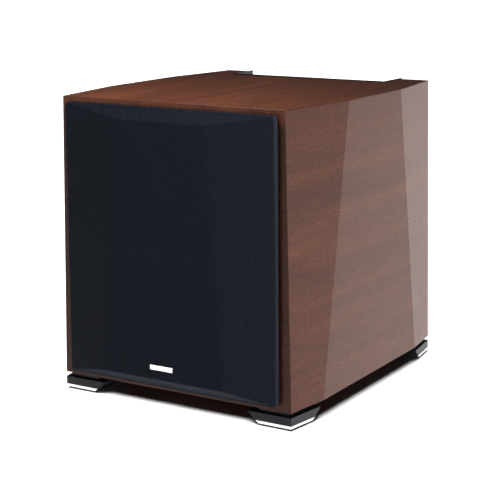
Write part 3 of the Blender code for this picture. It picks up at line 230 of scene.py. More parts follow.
# %% Camera
camera = show("camera", bpy.data.cameras.new("camera"))
camera.data.lens = 104.9
camera.data.sensor_width = 36.0
camera.data.clip_end = 200.0
turn, dip, roll = (math.radians(a) for a in (-31.344, 12.269, -0.273))
ahead = Vector((math.sin(turn) * math.cos(dip), math.cos(turn) * math.cos(dip), -math.sin(dip)))
level = Vector((math.cos(turn), -math.sin(turn), 0.0))
upright = level.cross(ahead)
across = math.cos(roll) * level + math.sin(roll) * upright
upward = math.cos(roll) * upright - math.sin(roll) * level
matrix = camera.matrix_world.copy()
for column, axis in enumerate((across, upward, -ahead)):
    for row in range(3):
        matrix[row][column] = axis[row]
matrix.translation = Vector((1.3391, FRONT_Y - 1.9555, BASE_Z + 0.7715))
camera.matrix_world = matrix
bpy.context.scene.camera = camera
bpy.context.scene.view_settings.view_transform = "Standard"
print("camera at", [round(v, 3) for v in matrix.translation])

# %% [markdown]
# The object stands on a wide sheet of grey paper, which the light lifts to white. The sheet
# ends somewhere, so a white dome that gives off light to the camera alone stands behind it. It
# lights nothing else, so it can't wash out the wood.

# %% Paper floor
paper = grained("grey paper sweep lit to white", "#919191", "#8D8D8D", 0.9, 40.0, 0.01)
sheet_mesh = bmesh.new()
bmesh.ops.create_grid(sheet_mesh, x_segments=8, y_segments=8, size=60.0)
floor_mesh = bpy.data.meshes.new("floor")
sheet_mesh.to_mesh(floor_mesh)
sheet_mesh.free()
floor_mesh.materials.append(paper)
floor = show("floor", floor_mesh)
floor.location.z = -0.0002
floor.visible_diffuse = False

white, tree, shader = start_finish("white backdrop", 1.0)
shader.inputs["Base Color"].default_value = (0.0, 0.0, 0.0, 1.0)
shader.inputs["Emission Color"].default_value = (1.0, 1.0, 1.0, 1.0)
shader.inputs["Emission Strength"].default_value = 1.0
dome_shape = bmesh.new()
bmesh.ops.create_uvsphere(dome_shape, u_segments=48, v_segments=24, radius=40.0)
bmesh.ops.reverse_faces(dome_shape, faces=dome_shape.faces[:])
dome_mesh = bpy.data.meshes.new("backdrop")
dome_shape.to_mesh(dome_mesh)
dome_shape.free()
dome_mesh.materials.append(white)
backdrop = show("backdrop", dome_mesh)
backdrop.visible_diffuse = backdrop.visible_glossy = backdrop.visible_shadow = False
backdrop.visible_transmission = False
print("staged", floor.name, "and", backdrop.name)


# %% [markdown]
# A very wide sun lights only the paper, and only the feet and the bottom board hold it back,
# which leaves a soft dark line under the cabinet. Softboxes light the object itself. Light
# linking keeps lamps to their own pieces, as flags and barn doors do in a real studio.

# %% Lights
def softbox(name, place, target, size, power, tint=(1.0, 1.0, 1.0)):
    light = bpy.data.lights.new(name, "AREA")
    light.shape = "RECTANGLE"
    light.size, light.size_y = size
    light.energy = power
    light.color = tint
    lamp = show(name, light)
    lamp.location = place
    lamp.rotation_euler = (Vector(target) - Vector(place)).to_track_quat("-Z", "Y").to_euler()
    lamp.visible_camera = False
    return lamp


TOP_BOX, CLOTH_BOX = 1, 4
boxes = [
    softbox("side softbox", (1.9, -0.08, 0.24), (0.2, 0.05, 0.16), (1.1, 0.38), 13.0, (1.0, 0.95, 0.93)),
    softbox("top softbox", (-0.05, -0.40, 1.00), (-0.03, -0.20, 0.5), (0.40, 0.30), 3.5),
    softbox("front fill", (1.0, -2.5, 1.5), (0.0, 0.0, 0.3), (1.6, 1.2), 0.4),
    softbox("back fill", (0.9, 2.3, 1.5), (0.0, 0.2, 0.3), (1.4, 1.0), 8.0),
    softbox("cloth light", (1.2, -0.62, 1.85), (0.0, -0.3, 0.3), (0.8, 0.8), 24.0),
    softbox("left fill", (-2.2, 0.3, 0.9), (0.0, 0.0, 0.3), (1.4, 1.0), 1.0),
]

paper_sun = show("paper light", bpy.data.lights.new("paper light", "SUN"))
paper_sun.data.energy = 21.0
paper_sun.data.angle = math.radians(44.0)
paper_sun.rotation_euler = Vector((-0.06, 0.34, -1.0)).to_track_quat("-Z", "Y").to_euler()
only_paper = bpy.data.collections.new("lit by the paper light")
only_paper.objects.link(floor)
paper_sun.light_linking.receiver_collection = only_paper
shades_paper = bpy.data.collections.new("shades the paper")
paper_sun.light_linking.blocker_collection = shades_paper
not_paper = bpy.data.collections.new("lit by the softboxes")
not_paper.objects.link(floor)
not_paper.collection_objects[0].light_linking.link_state = "EXCLUDE"
for lamp in boxes:
    lamp.light_linking.receiver_collection = not_paper
not_front = bpy.data.collections.new("lit by the top softbox")
not_front.objects.link(floor)
boxes[TOP_BOX].light_linking.receiver_collection = not_front

world = bpy.data.worlds.new("studio")
world.use_nodes = True
world.node_tree.nodes["Background"].inputs["Color"].default_value = (0.05, 0.052, 0.058, 1.0)
bpy.context.scene.world = world

# %% [markdown]
# Mesh helpers follow. A finished piece is built straight in its place, so its object stays
# at the origin. `finish_piece` makes the object, shades it, lets it ride on a body of the
# frame and hides the solid of the frame that it stands for. `turned` spins a profile into a
# closed ring or a closed body, with its poles as single points.


# %% Mesh helpers
def finish_piece(name, shape, material, body, stands_for=(), angle=35.0):
    bmesh.ops.recalc_face_normals(shape, faces=shape.faces[:])
    mesh = bpy.data.meshes.new(name)
    shape.to_mesh(mesh)
    shape.free()
    if angle is not None:
        mesh.shade_smooth()
        mesh.set_sharp_from_angle(angle=math.radians(angle))
    for one in material if isinstance(material, list) else [material]:
        mesh.materials.append(one)
    piece = show(name, mesh)
    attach(piece, body)
    if stands_for:
        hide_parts(*([stands_for] if isinstance(stands_for, str) else stands_for))
    return piece


def turned(shape, profile, centre, axis=(0, 1, 0), sides=96, bulge=None):
    """Spins (radius, reach) points. A profile that ends off the axis closes on itself."""
    axis = Vector(axis).normalized()
    first = axis.orthogonal().normalized() if abs(axis.y) < 0.9 else Vector((1, 0, 0))
    second = axis.cross(first)
    rings = []
    for radius, reach in profile:
        middle = Vector(centre) + axis * reach
        if radius <= 0:
            rings.append([shape.verts.new(middle)] * sides)
            continue
        ring = []
        for step in range(sides):
            angle = 2 * math.pi * step / sides
            far = radius * (bulge(angle, radius, reach) if bulge else 1.0)
            out = math.cos(angle) * first + math.sin(angle) * second
            ring.append(shape.verts.new(middle + far * out))
        rings.append(ring)
    pairs = list(zip(rings, rings[1:]))
    if profile[0][0] > 0 or profile[-1][0] > 0:
        pairs.append((rings[-1], rings[0]))
    for near, far in pairs:
        for step in range(sides):
            after = (step + 1) % sides
            corners = list(dict.fromkeys((near[step], near[after], far[after], far[step])))
            if len(corners) > 2:
                shape.faces.new(corners)
    return shape


def add_block(shape, low, high):
    size, middle = Vector(high) - Vector(low), (Vector(high) + Vector(low)) / 2
    made = bmesh.ops.create_cube(shape, size=1.0)["verts"]
    bmesh.ops.scale(shape, verts=made, vec=size)
    bmesh.ops.translate(shape, verts=made, vec=middle)
    return made


def extrude(shape, corners, way):
    """Draws one flat outline and pulls it along a vector."""
    base = shape.faces.new([shape.verts.new(corner) for corner in corners])
    grown = bmesh.ops.extrude_face_region(shape, geom=[base])["geom"]
    moved = [item for item in grown if isinstance(item, bmesh.types.BMVert)]
    bmesh.ops.translate(shape, verts=moved, vec=way)
    return shape


def soften(shape, width, segments=2, least=25.0):
    """Rounds every edge that turns by more than an angle."""
    sharp = [
        edge for edge in shape.edges
        if len(edge.link_faces) == 2 and edge.calc_face_angle(0.0) > math.radians(least)
    ]
    bmesh.ops.bevel(
        shape, geom=sharp, offset=width, segments=segments, profile=0.5, affect="EDGES",
        clamp_overlap=True,
    )


def steady_normals(mesh, widest=50.0):
    """Lets the large flat faces set the normals, so that a rounded edge doesn't tilt them."""
    limit = math.cos(math.radians(widest))
    around = [[] for _ in mesh.vertices]
    for face in mesh.polygons:
        for vertex in face.vertices:
            around[vertex].append((face.normal.copy(), face.area ** 2))
    normals = []
    for face in mesh.polygons:
        for loop in face.loop_indices:
            total = Vector((0, 0, 0))
            for normal, weight in around[mesh.loops[loop].vertex_index]:
                if normal.dot(face.normal) > limit:
                    total += normal * weight
            normals.append(total.normalized() if total.length > 0 else face.normal)
    mesh.normals_split_custom_set(normals)


def softened_copy(node, width, material, body):
    """A solid of the frame with its edges rounded: a copy is merged, cleaned, then bevelled."""
    shape = bmesh.new()
    shape.from_mesh(frame["nodes"][node].data)
    bmesh.ops.remove_doubles(shape, verts=shape.verts[:], dist=2e-6)
    bmesh.ops.dissolve_limit(
        shape, angle_limit=math.radians(1.0), verts=shape.verts[:], edges=shape.edges[:]
    )
    if width > 0:
        soften(shape, width)
    piece = finish_piece(node + "_finished", shape, material, body, node)
    if width > 0:
        steady_normals(piece.data)
    return piece


print("mesh helpers ready")


# %% [markdown]
# ## The cabinet
# The real box is fibreboard covered with walnut veneer. A veneer is sliced from one log,
# so its grain runs in long, slightly wavy streaks: across the side panels from front to
# back, over the top from front to back, and upright on the narrow front edges. A tiled
# texture would repeat, so the grain is computed. The material reads a UV map in metres, with U
# along the grain, which lets one leaf of veneer run over the joints of several boards.

# %% Walnut veneer, sliced, stained and satin lacquered
# Brown walnut streaks under a thin lacquer: darker lines every few millimetres, short
# pores, and a soft gloss that shows most at a low angle.
veneer, tree, shader = start_finish("walnut veneer satin lacquer", 0.33)
shader.inputs["IOR"].default_value = 1.45
shader.inputs["Specular IOR Level"].default_value = 0.25
grain_map = add(tree, "ShaderNodeUVMap", uv_map="Grain").outputs["UV"]
axes = add(tree, "ShaderNodeSeparateXYZ", {"Vector": grain_map})
wander = add(tree, "ShaderNodeMapping", {"Vector": grain_map, "Scale": (2.4, 6.0, 1.0)})
wander = add(tree, "ShaderNodeTexNoise", {"Vector": wander.outputs[0], "Scale": 1.0, "Detail": 1.5})
drift = add(
    tree, "ShaderNodeMath",
    {0: wander.outputs["Fac"], 1: 0.012, 2: axes.outputs["Y"]}, operation="MULTIPLY_ADD",
)
leaf = add(tree, "ShaderNodeCombineXYZ", {"X": axes.outputs["X"], "Y": drift.outputs[0]}).outputs[0]
layers = []
for title, scale, detail in (
    ("broad figure", (1.6, 22.0, 1.0), 3.0),
    ("streaks", (14.0, 380.0, 1.0), 4.0),
    ("fibres", (90.0, 900.0, 1.0), 2.0),
    ("pores", (110.0, 620.0, 1.0), 1.0),
):
    squeezed = add(tree, "ShaderNodeMapping", {"Vector": leaf, "Scale": scale}, label=title)
    layer = add(tree, "ShaderNodeTexNoise", {"Vector": squeezed.outputs[0], "Scale": 1.0, "Detail": detail})
    layers.append(layer.outputs["Fac"])
broad, streaks, fibres, pores = layers
mix = add(tree, "ShaderNodeMix", {"Factor": 0.42, "A": broad, "B": streaks}, data_type="FLOAT")
mix = add(tree, "ShaderNodeMix", {"Factor": 0.30, "A": mix.outputs[0], "B": fibres}, data_type="FLOAT")
wood = add(
    tree, "ShaderNodeValToRGB", {"Fac": mix.outputs[0]},
    [(0.32, "#52291A"), (0.68, "#A15F3D"), (0.43, "#6E3C28"), (0.50, "#7B452D"), (0.57, "#895034")],
)
pits = add(
    tree, "ShaderNodeMapRange",
    {"Value": pores, "From Min": 0.57, "From Max": 0.68, "To Min": 0.0, "To Max": 0.85},
)
tint = add(
    tree, "ShaderNodeMix",
    {"Factor": pits.outputs[0], "A": wood.outputs["Color"], "B": colour("#2A130D")}, data_type="RGBA",
)
gloss = add(tree, "ShaderNodeMapRange", {"Value": streaks, "To Min": 0.27, "To Max": 0.40})
depth = add(tree, "ShaderNodeMath", {0: streaks, 1: pits.outputs[0]}, operation="SUBTRACT")
dress(
    tree, shader, tint.outputs["Result"], depth.outputs[0], 0.35, 0.00006, gloss.outputs["Result"]
)
fibreboard = grained("medium density fibreboard sawn", "#A98A63", "#8A6C48", 0.88, 1.2, 0.05)
print("veneer nodes", len(tree.nodes))

# %% [markdown]
# Each board is a block trimmed by the same four leaning flats. Only the cabinet's outer
# edges are rounded, by less than a millimetre, and the boards meet without a gap, because
# the veneer covers the joints. Faces that aren't on the outside show bare fibreboard.

# %% Board helpers
FLATS = []
for side in (-1, 1):
    for end_y, toward in ((FRONT_Y, -1), (BACK_Y, 1)):
        corner = Vector((side * HALF_FRONT_BOTTOM, end_y, BASE_Z))
        FLATS.append((corner, Vector((side, toward * FACET_SLOPE, FACET_LEAN)).normalized()))
OUTSIDES = FLATS + [
    (Vector((0, 0, TOP_Z)), Vector((0, 0, 1))), (Vector((0, 0, BASE_Z)), Vector((0, 0, -1))),
    (Vector((0, FRONT_Y, 0)), Vector((0, -1, 0))), (Vector((0, BACK_Y, 0)), Vector((0, 1, 0))),
    (Vector((HALF_WIDTH, 0, 0)), Vector((1, 0, 0))), (Vector((-HALF_WIDTH, 0, 0)), Vector((-1, 0, 0))),
]


def is_outside(face):
    middle = face.calc_center_median()
    return any(
        abs((middle - point).dot(normal)) < 2e-5 and face.normal.dot(normal) > 0.999
        for point, normal in OUTSIDES
    )


def map_grain(shape):
    grain = shape.loops.layers.uv.new("Grain")
    for face in shape.faces:
        n = face.normal
        for loop in face.loops:
            x, y, z = loop.vert.co
            if abs(n.z) > 0.72:
                loop[grain].uv = (y + 3.1, x + 5.0)
            elif abs(n.y) > 0.72:
                loop[grain].uv = (z + 7.4, x + (1.3 if n.y < 0 else 2.9))
            else:
                loop[grain].uv = (y, z + (0.0 if n.x > 0 else 9.0))


def trim(shape):
    for point, normal in FLATS:
        parts = shape.verts[:] + shape.edges[:] + shape.faces[:]
        bmesh.ops.bisect_plane(
            shape, geom=parts, dist=1e-7, plane_co=point, plane_no=normal, clear_outer=True
        )
        rim = [edge for edge in shape.edges if edge.is_boundary]
        if rim:
            bmesh.ops.edgeloop_fill(shape, edges=rim)
    bmesh.ops.recalc_face_normals(shape, faces=shape.faces[:])


def veneer_board(node, shape):
    shape.normal_update()
    outer = {face for face in shape.faces if is_outside(face)}
    for face in shape.faces:
        face.material_index = 0 if face in outer else 1
    edges = [
        edge for edge in shape.edges
        if len(edge.link_faces) == 2 and all(face in outer for face in edge.link_faces)
        and edge.calc_face_angle(0.0) > math.radians(30.0)
    ]
    bmesh.ops.bevel(shape, geom=edges, offset=0.0009, segments=3, profile=0.5, affect="EDGES")
    bmesh.ops.recalc_face_normals(shape, faces=shape.faces[:])
    map_grain(shape)
    for edge in shape.edges:
        turn_here = math.degrees(edge.calc_face_angle(0.0)) if len(edge.link_faces) == 2 else 0.0
        edge.smooth = turn_here < 3.0 or 18.0 < turn_here < 50.0
    return finish_piece(node + "_veneered", shape, [veneer, fibreboard], "cabinet", node, None)


print("flats", len(FLATS), "outside planes", len(OUTSIDES))


# %% [markdown]
# The top and bottom boards share a U-shaped outline with the notch of the rear channel. The
# sides and the posts stand between them. The outer boards are drawn as plain blocks and the
# leaning flats then cut them, so the slanted ends need no drawing of their own.

# %% Top, bottom, sides and rear posts
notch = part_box("rear_liner")[1].x + GAP
notch_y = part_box("rear_liner")[0].y
w = HALF_WIDTH
U_SHAPE = [
    (-w, FRONT_Y), (w, FRONT_Y), (w, BACK_Y), (notch, BACK_Y),
    (notch, notch_y), (-notch, notch_y), (-notch, BACK_Y), (-w, BACK_Y),
]
LOW_JOINT = BASE_Z + BOARD + GAP / 2
HIGH_JOINT = TOP_Z - BOARD - GAP / 2
SIDE_JOINT = FRONT_Y + BAFFLE_BOARD + GAP / 2
for node, low, high in (
    ("cabinet_top", HIGH_JOINT, TOP_Z), ("cabinet_bottom", BASE_Z, LOW_JOINT),
):
    shape = extrude(bmesh.new(), [(x, y, low) for x, y in U_SHAPE], (0, 0, high - low))
    trim(shape)
    veneer_board(node, shape)
post_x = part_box("side_panel_right")[0].x - GAP / 2
for side, word in ((-1, "left"), (1, "right")):
    shape = bmesh.new()
    near, far = sorted((side * post_x, side * w))
    add_block(shape, (near, SIDE_JOINT, LOW_JOINT), (far, BACK_Y, HIGH_JOINT))
    trim(shape)
    veneer_board("side_panel_" + word, shape)
    shape = bmesh.new()
    near, far = sorted((side * notch, side * post_x))
    add_block(shape, (near, notch_y + GAP, LOW_JOINT), (far, BACK_Y, HIGH_JOINT))
    shape.normal_update()
    veneer_board("rear_post_" + word, shape)


# %% [markdown]
# The front baffle has a stepped round opening for the driver. Cutting it from the board
# with a Boolean keeps both shapes simple: a block, and a finely turned cutter. The result
# is read back as a plain mesh, so that the modifier is gone before the piece rides.


# %% Front baffle
def cut(shape, cutter):
    """Takes a cutter out of a shape with an exact Boolean and gives what is left."""
    made = []
    for part in (shape, cutter):
        bmesh.ops.recalc_face_normals(part, faces=part.faces[:])
        mesh = bpy.data.meshes.new("work")
        part.to_mesh(mesh)
        part.free()
        made.append(show("work", mesh))
    boolean = made[0].modifiers.new("cut", "BOOLEAN")
    boolean.operation, boolean.solver, boolean.use_self = "DIFFERENCE", "EXACT", True
    boolean.object = made[1]
    graph = bpy.context.evaluated_depsgraph_get()
    result = bmesh.new()
    result.from_mesh(made[0].evaluated_get(graph).to_mesh())
    for part in made:
        bpy.data.objects.remove(part)
    return result


def bolt_places():
    angles = [2 * math.pi * (index + 0.5) / BOLTS for index in range(BOLTS)]
    return [DRIVER + BOLT_CIRCLE * Vector((math.cos(a), 0, math.sin(a))) for a in angles]


shape = bmesh.new()
add_block(shape, (-w, FRONT_Y, LOW_JOINT), (w, SIDE_JOINT, HIGH_JOINT))
trim(shape)
step = 0.0103
seat, through = 0.1946, 0.178
opening = turned(
    bmesh.new(),
    [(0, -0.02), (seat, -0.02), (seat, step), (through, step), (through, 0.05), (0, 0.05)], DRIVER,
)
for word in CORNERS:
    middle = middle_of("grille_socket_" + word, FRONT_Y)
    turned(opening, [(0, -0.01), (0.006, -0.01), (0.006, 0.0143), (0, 0.0143)], middle, sides=24)
hole = [(0, step - 0.001), (BOLT_HOLE, step - 0.001), (BOLT_HOLE, 0.020), (0, 0.020)]
for place in bolt_places():
    turned(opening, hole, place, sides=16)
baffle = veneer_board("front_baffle", cut(shape, opening))
print("baffle faces", len(baffle.data.polygons))

# %% [markdown]
# ## The grille
# Black acoustic cloth is stretched over a moulded frame with five flats. Stretched cloth
# doesn't wrinkle, so its shape is the frame's with softened folds and rounded corners. A
# skin is drawn as five patches of quads that share their folds, then rolled over the rim
# and down the side. The cloth is the space between two such skins, and so is the frame
# inside it.

# %% Grille skin
RIM, STAND_OFF = 0.012, 0.002
FLAT_LOW, FLAT_HIGH = BASE_Z + 0.030, TOP_Z - 0.030
ROLL, CORNER = 0.003, 0.0065


def between(start, end, steps):
    return [Vector(start).lerp(Vector(end), step / steps) for step in range(steps + 1)]


def rim_corner(side, end, inset):
    """Centre of a rounded corner of the grille, in the plane of its rim."""
    half = (HALF_FRONT_BOTTOM - 0.0215) if end < 0 else (HALF_FRONT_TOP - 0.013)
    z = BASE_Z + 0.0085 if end < 0 else TOP_Z - 0.0085
    keep = max(CORNER, inset + 0.0004)
    return Vector((side * (half - keep), 0, z - end * keep)), keep - inset


def rim_run(start, end, first_angle, last_angle, inset, steps=44, bend=4):
    """Points along one side of the rim, with half a rounded corner at each end."""
    run = []
    for corner, angles in ((start, (first_angle[0], first_angle[1])), (end, (last_angle[0], last_angle[1]))):
        middle, radius = rim_corner(*corner, inset)
        arc = []
        for index in range(bend + 1):
            a = math.radians(angles[0] + (angles[1] - angles[0]) * index / bend)
            out = Vector((math.cos(a), 0, math.sin(a)))
            arc.append((middle + radius * out, out))
        run.append(arc)
    inner = between(run[0][-1][0], run[1][0][0], steps)[1:-1]
    return run[0] + [(point, run[0][-1][1]) for point in inner] + run[1]


def grille_skin(shape, inset, layers=8):
    """One closed-edged skin. Returns its back edge, in order round the grille."""
    roll = max(ROLL - inset, 0.0002)
    face = {-1: FRONT_Y - 0.035 + inset, 1: FRONT_Y - 0.031 + inset}
    half = {-1: 0.123, 1: 0.082}
    height = {-1: FLAT_LOW, 1: FLAT_HIGH}
    fold = {
        (side, end): Vector((side * half[end], face[end], height[end]))
        for side in (-1, 1) for end in (-1, 1)
    }
    runs = [
        ((1, -1), (1, 1), (-45, 0), (0, 45)), ((1, 1), (-1, 1), (45, 90), (90, 135)),
        ((-1, 1), (-1, -1), (135, 180), (180, 225)), ((-1, -1), (1, -1), (225, 270), (270, 315)),
    ]
    shoulder = FRONT_Y - RIM - 0.0006 + inset
    loop, folds = [], []
    for start, end, first, last in runs:
        run = rim_run(start, end, first, last, inset + roll)
        count = len(run) - 1
        lengths = [0.0]
        for (a, _), (b, _) in zip(run, run[1:]):
            lengths.append(lengths[-1] + (b - a).length)
        inner = [fold[start].lerp(fold[end], length / lengths[-1]) for length in lengths]
        rows = []
        for index, (point, out) in enumerate(run):
            outer = Vector((point.x, shoulder, point.z))
            row = [shape.verts.new(inner[index].lerp(outer, step / layers)) for step in range(layers + 1)]
            for step in range(1, 5):
                a = math.pi / 2 * step / 4
                back = Vector((0, roll * (1 - math.cos(a)), 0))
                row.append(shape.verts.new(outer + out * roll * math.sin(a) + back))
            wall = outer + out * roll
            for y in ((shoulder + roll + FRONT_Y - STAND_OFF) / 2, FRONT_Y - STAND_OFF):
                row.append(shape.verts.new((wall.x, y, wall.z)))
            rows.append(row)
        for a, b in zip(rows, rows[1:]):
            for step in range(len(a) - 1):
                shape.faces.new((a[step], a[step + 1], b[step + 1], b[step]))
        loop += [row[-1] for row in rows[:-1]]
        folds.append([row[0] for row in rows])
    right, top, left, bottom = folds
    count = len(top)
    columns = [[vert] for vert in bottom]
    for index in range(1, len(right) - 1):
        for column in range(count):
            place = left[-1 - index].co.lerp(right[index].co, bottom_share(bottom, column))
            columns[column].append(shape.verts.new(place) if 0 < column < count - 1 else None)
    for index in range(1, len(right) - 1):
        columns[0][index] = left[-1 - index]
        columns[-1][index] = right[index]
    for column in range(count):
        columns[column].append(top[-1 - column])
    for a, b in zip(columns, columns[1:]):
        for step in range(len(a) - 1):
            shape.faces.new((a[step], a[step + 1], b[step + 1], b[step]))
    return loop


def bottom_share(bottom, column):
    """How far along the bottom fold a column of points starts."""
    whole = bottom[-1].co.x - bottom[0].co.x
    return (bottom[column].co.x - bottom[0].co.x) / whole


def grille_shell(outer, inner):
    shape = bmesh.new()
    edges = [grille_skin(shape, outer), grille_skin(shape, inner)]
    count = len(edges[0])
    for index in range(count):
        after = (index + 1) % count
        shape.faces.new((edges[0][index], edges[0][after], edges[1][after], edges[1][index]))
    bmesh.ops.remove_doubles(shape, verts=shape.verts[:], dist=2e-6)
    return shape


print("grille flats from", round(FLAT_LOW, 3), "to", round(FLAT_HIGH, 3))

# %% [markdown]
# The cloth's threads cross at right angles, well under a millimetre apart. They are drawn
# at 1.6 mm, because finer ones wouldn't show at this distance. Two crossed waves make the
# weave, and a sheen on the shader gives the pale edge that fibres show at a low angle.

# %% Woven acoustic cloth, dyed black
def wave_scale(pitch_mm):
    """The scale at which a wave texture repeats once in a length."""
    return 1000 / pitch_mm / 20 * math.pi


# Dull blue-black threads with a faint pale bloom where the cloth turns away.
cloth, tree, shader = start_finish("acoustic cloth woven polyester", 0.85)
shader.inputs["Specular IOR Level"].default_value = 0.2
shader.inputs["Sheen Weight"].default_value = 0.08
shader.inputs["Sheen Roughness"].default_value = 0.5
shader.inputs["Sheen Tint"].default_value = colour("#C8D2E6")
weave_map = add(tree, "ShaderNodeUVMap", uv_map="Weave").outputs["UV"]
threads = []
for direction in ("X", "Y"):
    wave = add(
        tree, "ShaderNodeTexWave",
        {"Vector": weave_map, "Scale": wave_scale(1.6), "Distortion": 0.6, "Detail": 1.0},
        bands_direction=direction,
    )
    threads.append(wave.outputs["Fac"])
weave = add(tree, "ShaderNodeMath", {0: threads[0], 1: threads[1]}, operation="MULTIPLY")
patchy = add(tree, "ShaderNodeTexNoise", {"Vector": weave_map, "Scale": 160.0, "Detail": 3.0})
tone = add(
    tree, "ShaderNodeMath", {0: patchy.outputs["Fac"], 1: 0.5, 2: 0.0}, operation="MULTIPLY_ADD"
)
tone = add(
    tree, "ShaderNodeMath", {0: weave.outputs[0], 1: 0.45, 2: tone.outputs[0]},
    operation="MULTIPLY_ADD",
)
tint = add(
    tree, "ShaderNodeValToRGB", {"Fac": tone.outputs[0]},
    [(0.15, "#1B1E26"), (0.70, "#343A4A")],
)
dress(tree, shader, tint.outputs["Color"], weave.outputs[0], 0.35, 0.0002)
print("cloth nodes", len(tree.nodes))

# %% [markdown]
# A stretched sheet takes the shape of its frame, so no simulation is needed. Its flat size is
# the front of the frame, measured over the flats, plus the sides that it is turned back over.
# The weave is mapped straight through the folds, as one piece of cloth would lie.

# %% Stretched cloth
CLOTH_SIZE, CLOTH_THICK = (0.452, 0.512), 0.0008
shape = grille_shell(0.0, CLOTH_THICK)
weave_uv = shape.loops.layers.uv.new("Weave")
for face in shape.faces:
    for loop in face.loops:
        x, y, z = loop.vert.co
        deep = y - FRONT_Y
        loop[weave_uv].uv = (x + math.copysign(deep, x), z + math.copysign(deep, z - DRIVER.z))
grille_cloth = finish_piece(
    "grille_cloth_stretched", shape, cloth, "grille", "grille_cloth", 60.0
)
area = sum(p.area for p in grille_cloth.data.polygons) / 2
print("cloth area", round(area, 4), "of", round(CLOTH_SIZE[0] * CLOTH_SIZE[1], 4), "square metres")

# %% [markdown]
# The frame under the cloth is one black moulding with eighteen openings, so that sound
# passes, and four pegs. It takes the shape of the same skin, 1.5 mm further in, and is
# 6.5 mm thick, which leaves room for the driver's roll at the end of its travel.

# %% Moulded grille frame
black_abs = grained("black ABS moulded fine texture", "#1B1C1F", "#101113", 0.48, 0.8, 0.03)
FRAME_FRONT, FRAME_BACK = 0.0015, 0.0080
shape = grille_shell(FRAME_FRONT, FRAME_BACK)
openings = bmesh.new()
for column in range(6):
    x = (column - 2.5) * 0.063
    for row in range(3):
        z = (BASE_Z + TOP_Z) / 2 + (row - 1) * 0.133
        near, far = (x - 0.025, FRONT_Y - 0.06, z - 0.060), (x + 0.025, FRONT_Y + 0.01, z + 0.060)
        add_block(openings, near, far)
shape = cut(shape, openings)
for word in CORNERS:
    x, y, z = middle_of("grille_socket_" + word, FRONT_Y)
    out_x, out_z = math.copysign(1, x), math.copysign(1, z - DRIVER.z)
    near_x, far_x = sorted((x - out_x * 0.011, x + out_x * 0.0145))
    near_z, far_z = sorted((z - out_z * 0.013, z + out_z * 0.018))
    add_block(shape, (near_x, y - 0.0112, near_z), (far_x, y - STAND_OFF, far_z))
    peg = [(0, -0.009), (0.0035, -0.009), (0.0035, 0.0108), (0.0025, 0.012), (0, 0.012)]
    turned(shape, peg, (x, y, z), sides=24)
finish_piece("grille_frame_moulded", shape, black_abs, "grille", "grille_frame")
print("grille frame made")

# %% [markdown]
# A plain bright bar sits low on the cloth. It is a small flat solid, so a copy with softened
# edges is enough.

# %% Badge bar
bright = brushed("bright aluminium polished", "#E9EBEC", "#C9CCCE", 0.20, 0)
softened_copy("grille_badge", 0.0004, bright, "grille")
print("badge bar made")

# %% [markdown]
# ## The feet
# Each foot is three layers: a painted block with a recessed neck, a bright metal plate
# that shows as a thin line, and a rubber sole. The shapes are already right in the frame,
# so copies with rounded edges are enough, and the work goes into the finishes.

# %% Feet
foot_paint = grained("grey satin paint sprayed on cast zinc", "#45474D", "#3B3D43", 0.42, 0.7, 0.02)
foot_paint.node_tree.nodes["Principled BSDF"].inputs["Specular IOR Level"].default_value = 0.2
rubber = grained("black rubber moulded", "#17181A", "#0E0F10", 0.75, 0.9, 0.04)
for word in ("front_left", "front_right", "rear_left", "rear_right"):
    block = softened_copy("foot_body_" + word, 0.0008, [foot_paint, black_abs], "cabinet")
    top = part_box("foot_body_" + word)[1].z - 0.0078
    # The faces of the recessed neck take black plastic for a black spacer. That black also stands in for the
    # shade under the cabinet, so it is partly painted shade.
    for face in block.data.polygons:
        face.material_index = int(face.center.z > top)
    softened_copy("foot_plate_" + word, 0.0004, bright, "cabinet")
    softened_copy("foot_sole_" + word, 0.0006, rubber, "cabinet")
for item in bpy.data.objects:
    is_foot = item.name.startswith(("foot_body_", "foot_plate_", "foot_sole_"))
    if is_foot or item.name == "cabinet_bottom_veneered":
        shades_paper.objects.link(item)
not_front.objects.link(bpy.data.objects["front_baffle_veneered"])
not_front.objects.link(grille_cloth)
only_cloth = bpy.data.collections.new("lit by the cloth light")
only_cloth.objects.link(grille_cloth)
boxes[CLOTH_BOX].light_linking.receiver_collection = only_cloth
for link in not_front.collection_objects:
    link.light_linking.link_state = "EXCLUDE"
feet = [o for o in bpy.data.objects if o.name.startswith("foot_") and o.name.endswith("_finished")]
print("feet pieces", len(feet))

# %% [markdown]
# The channel at the back is lined by one black moulding. Its lip stands two millimetres
# proud of the wooden top, and it is the thin dark line round the notch.

# %% Channel liner
liner = softened_copy("rear_liner", 0.0005, black_abs, "cabinet")
print("liner faces", len(liner.data.polygons))

# %% [markdown]
# ## Pieces that repeat
# Screws, bolts, nuts and cooling fins are one shape set many times. Geometry Nodes do
# that: one node tree sets a piece on every point of a circle, one along a row, and one on
# marked points. Each tree's sizes are named inputs, so the same tree serves many pieces.
# The copies are realised and read back as a plain mesh, because an instance would be
# lost when the model is exported.


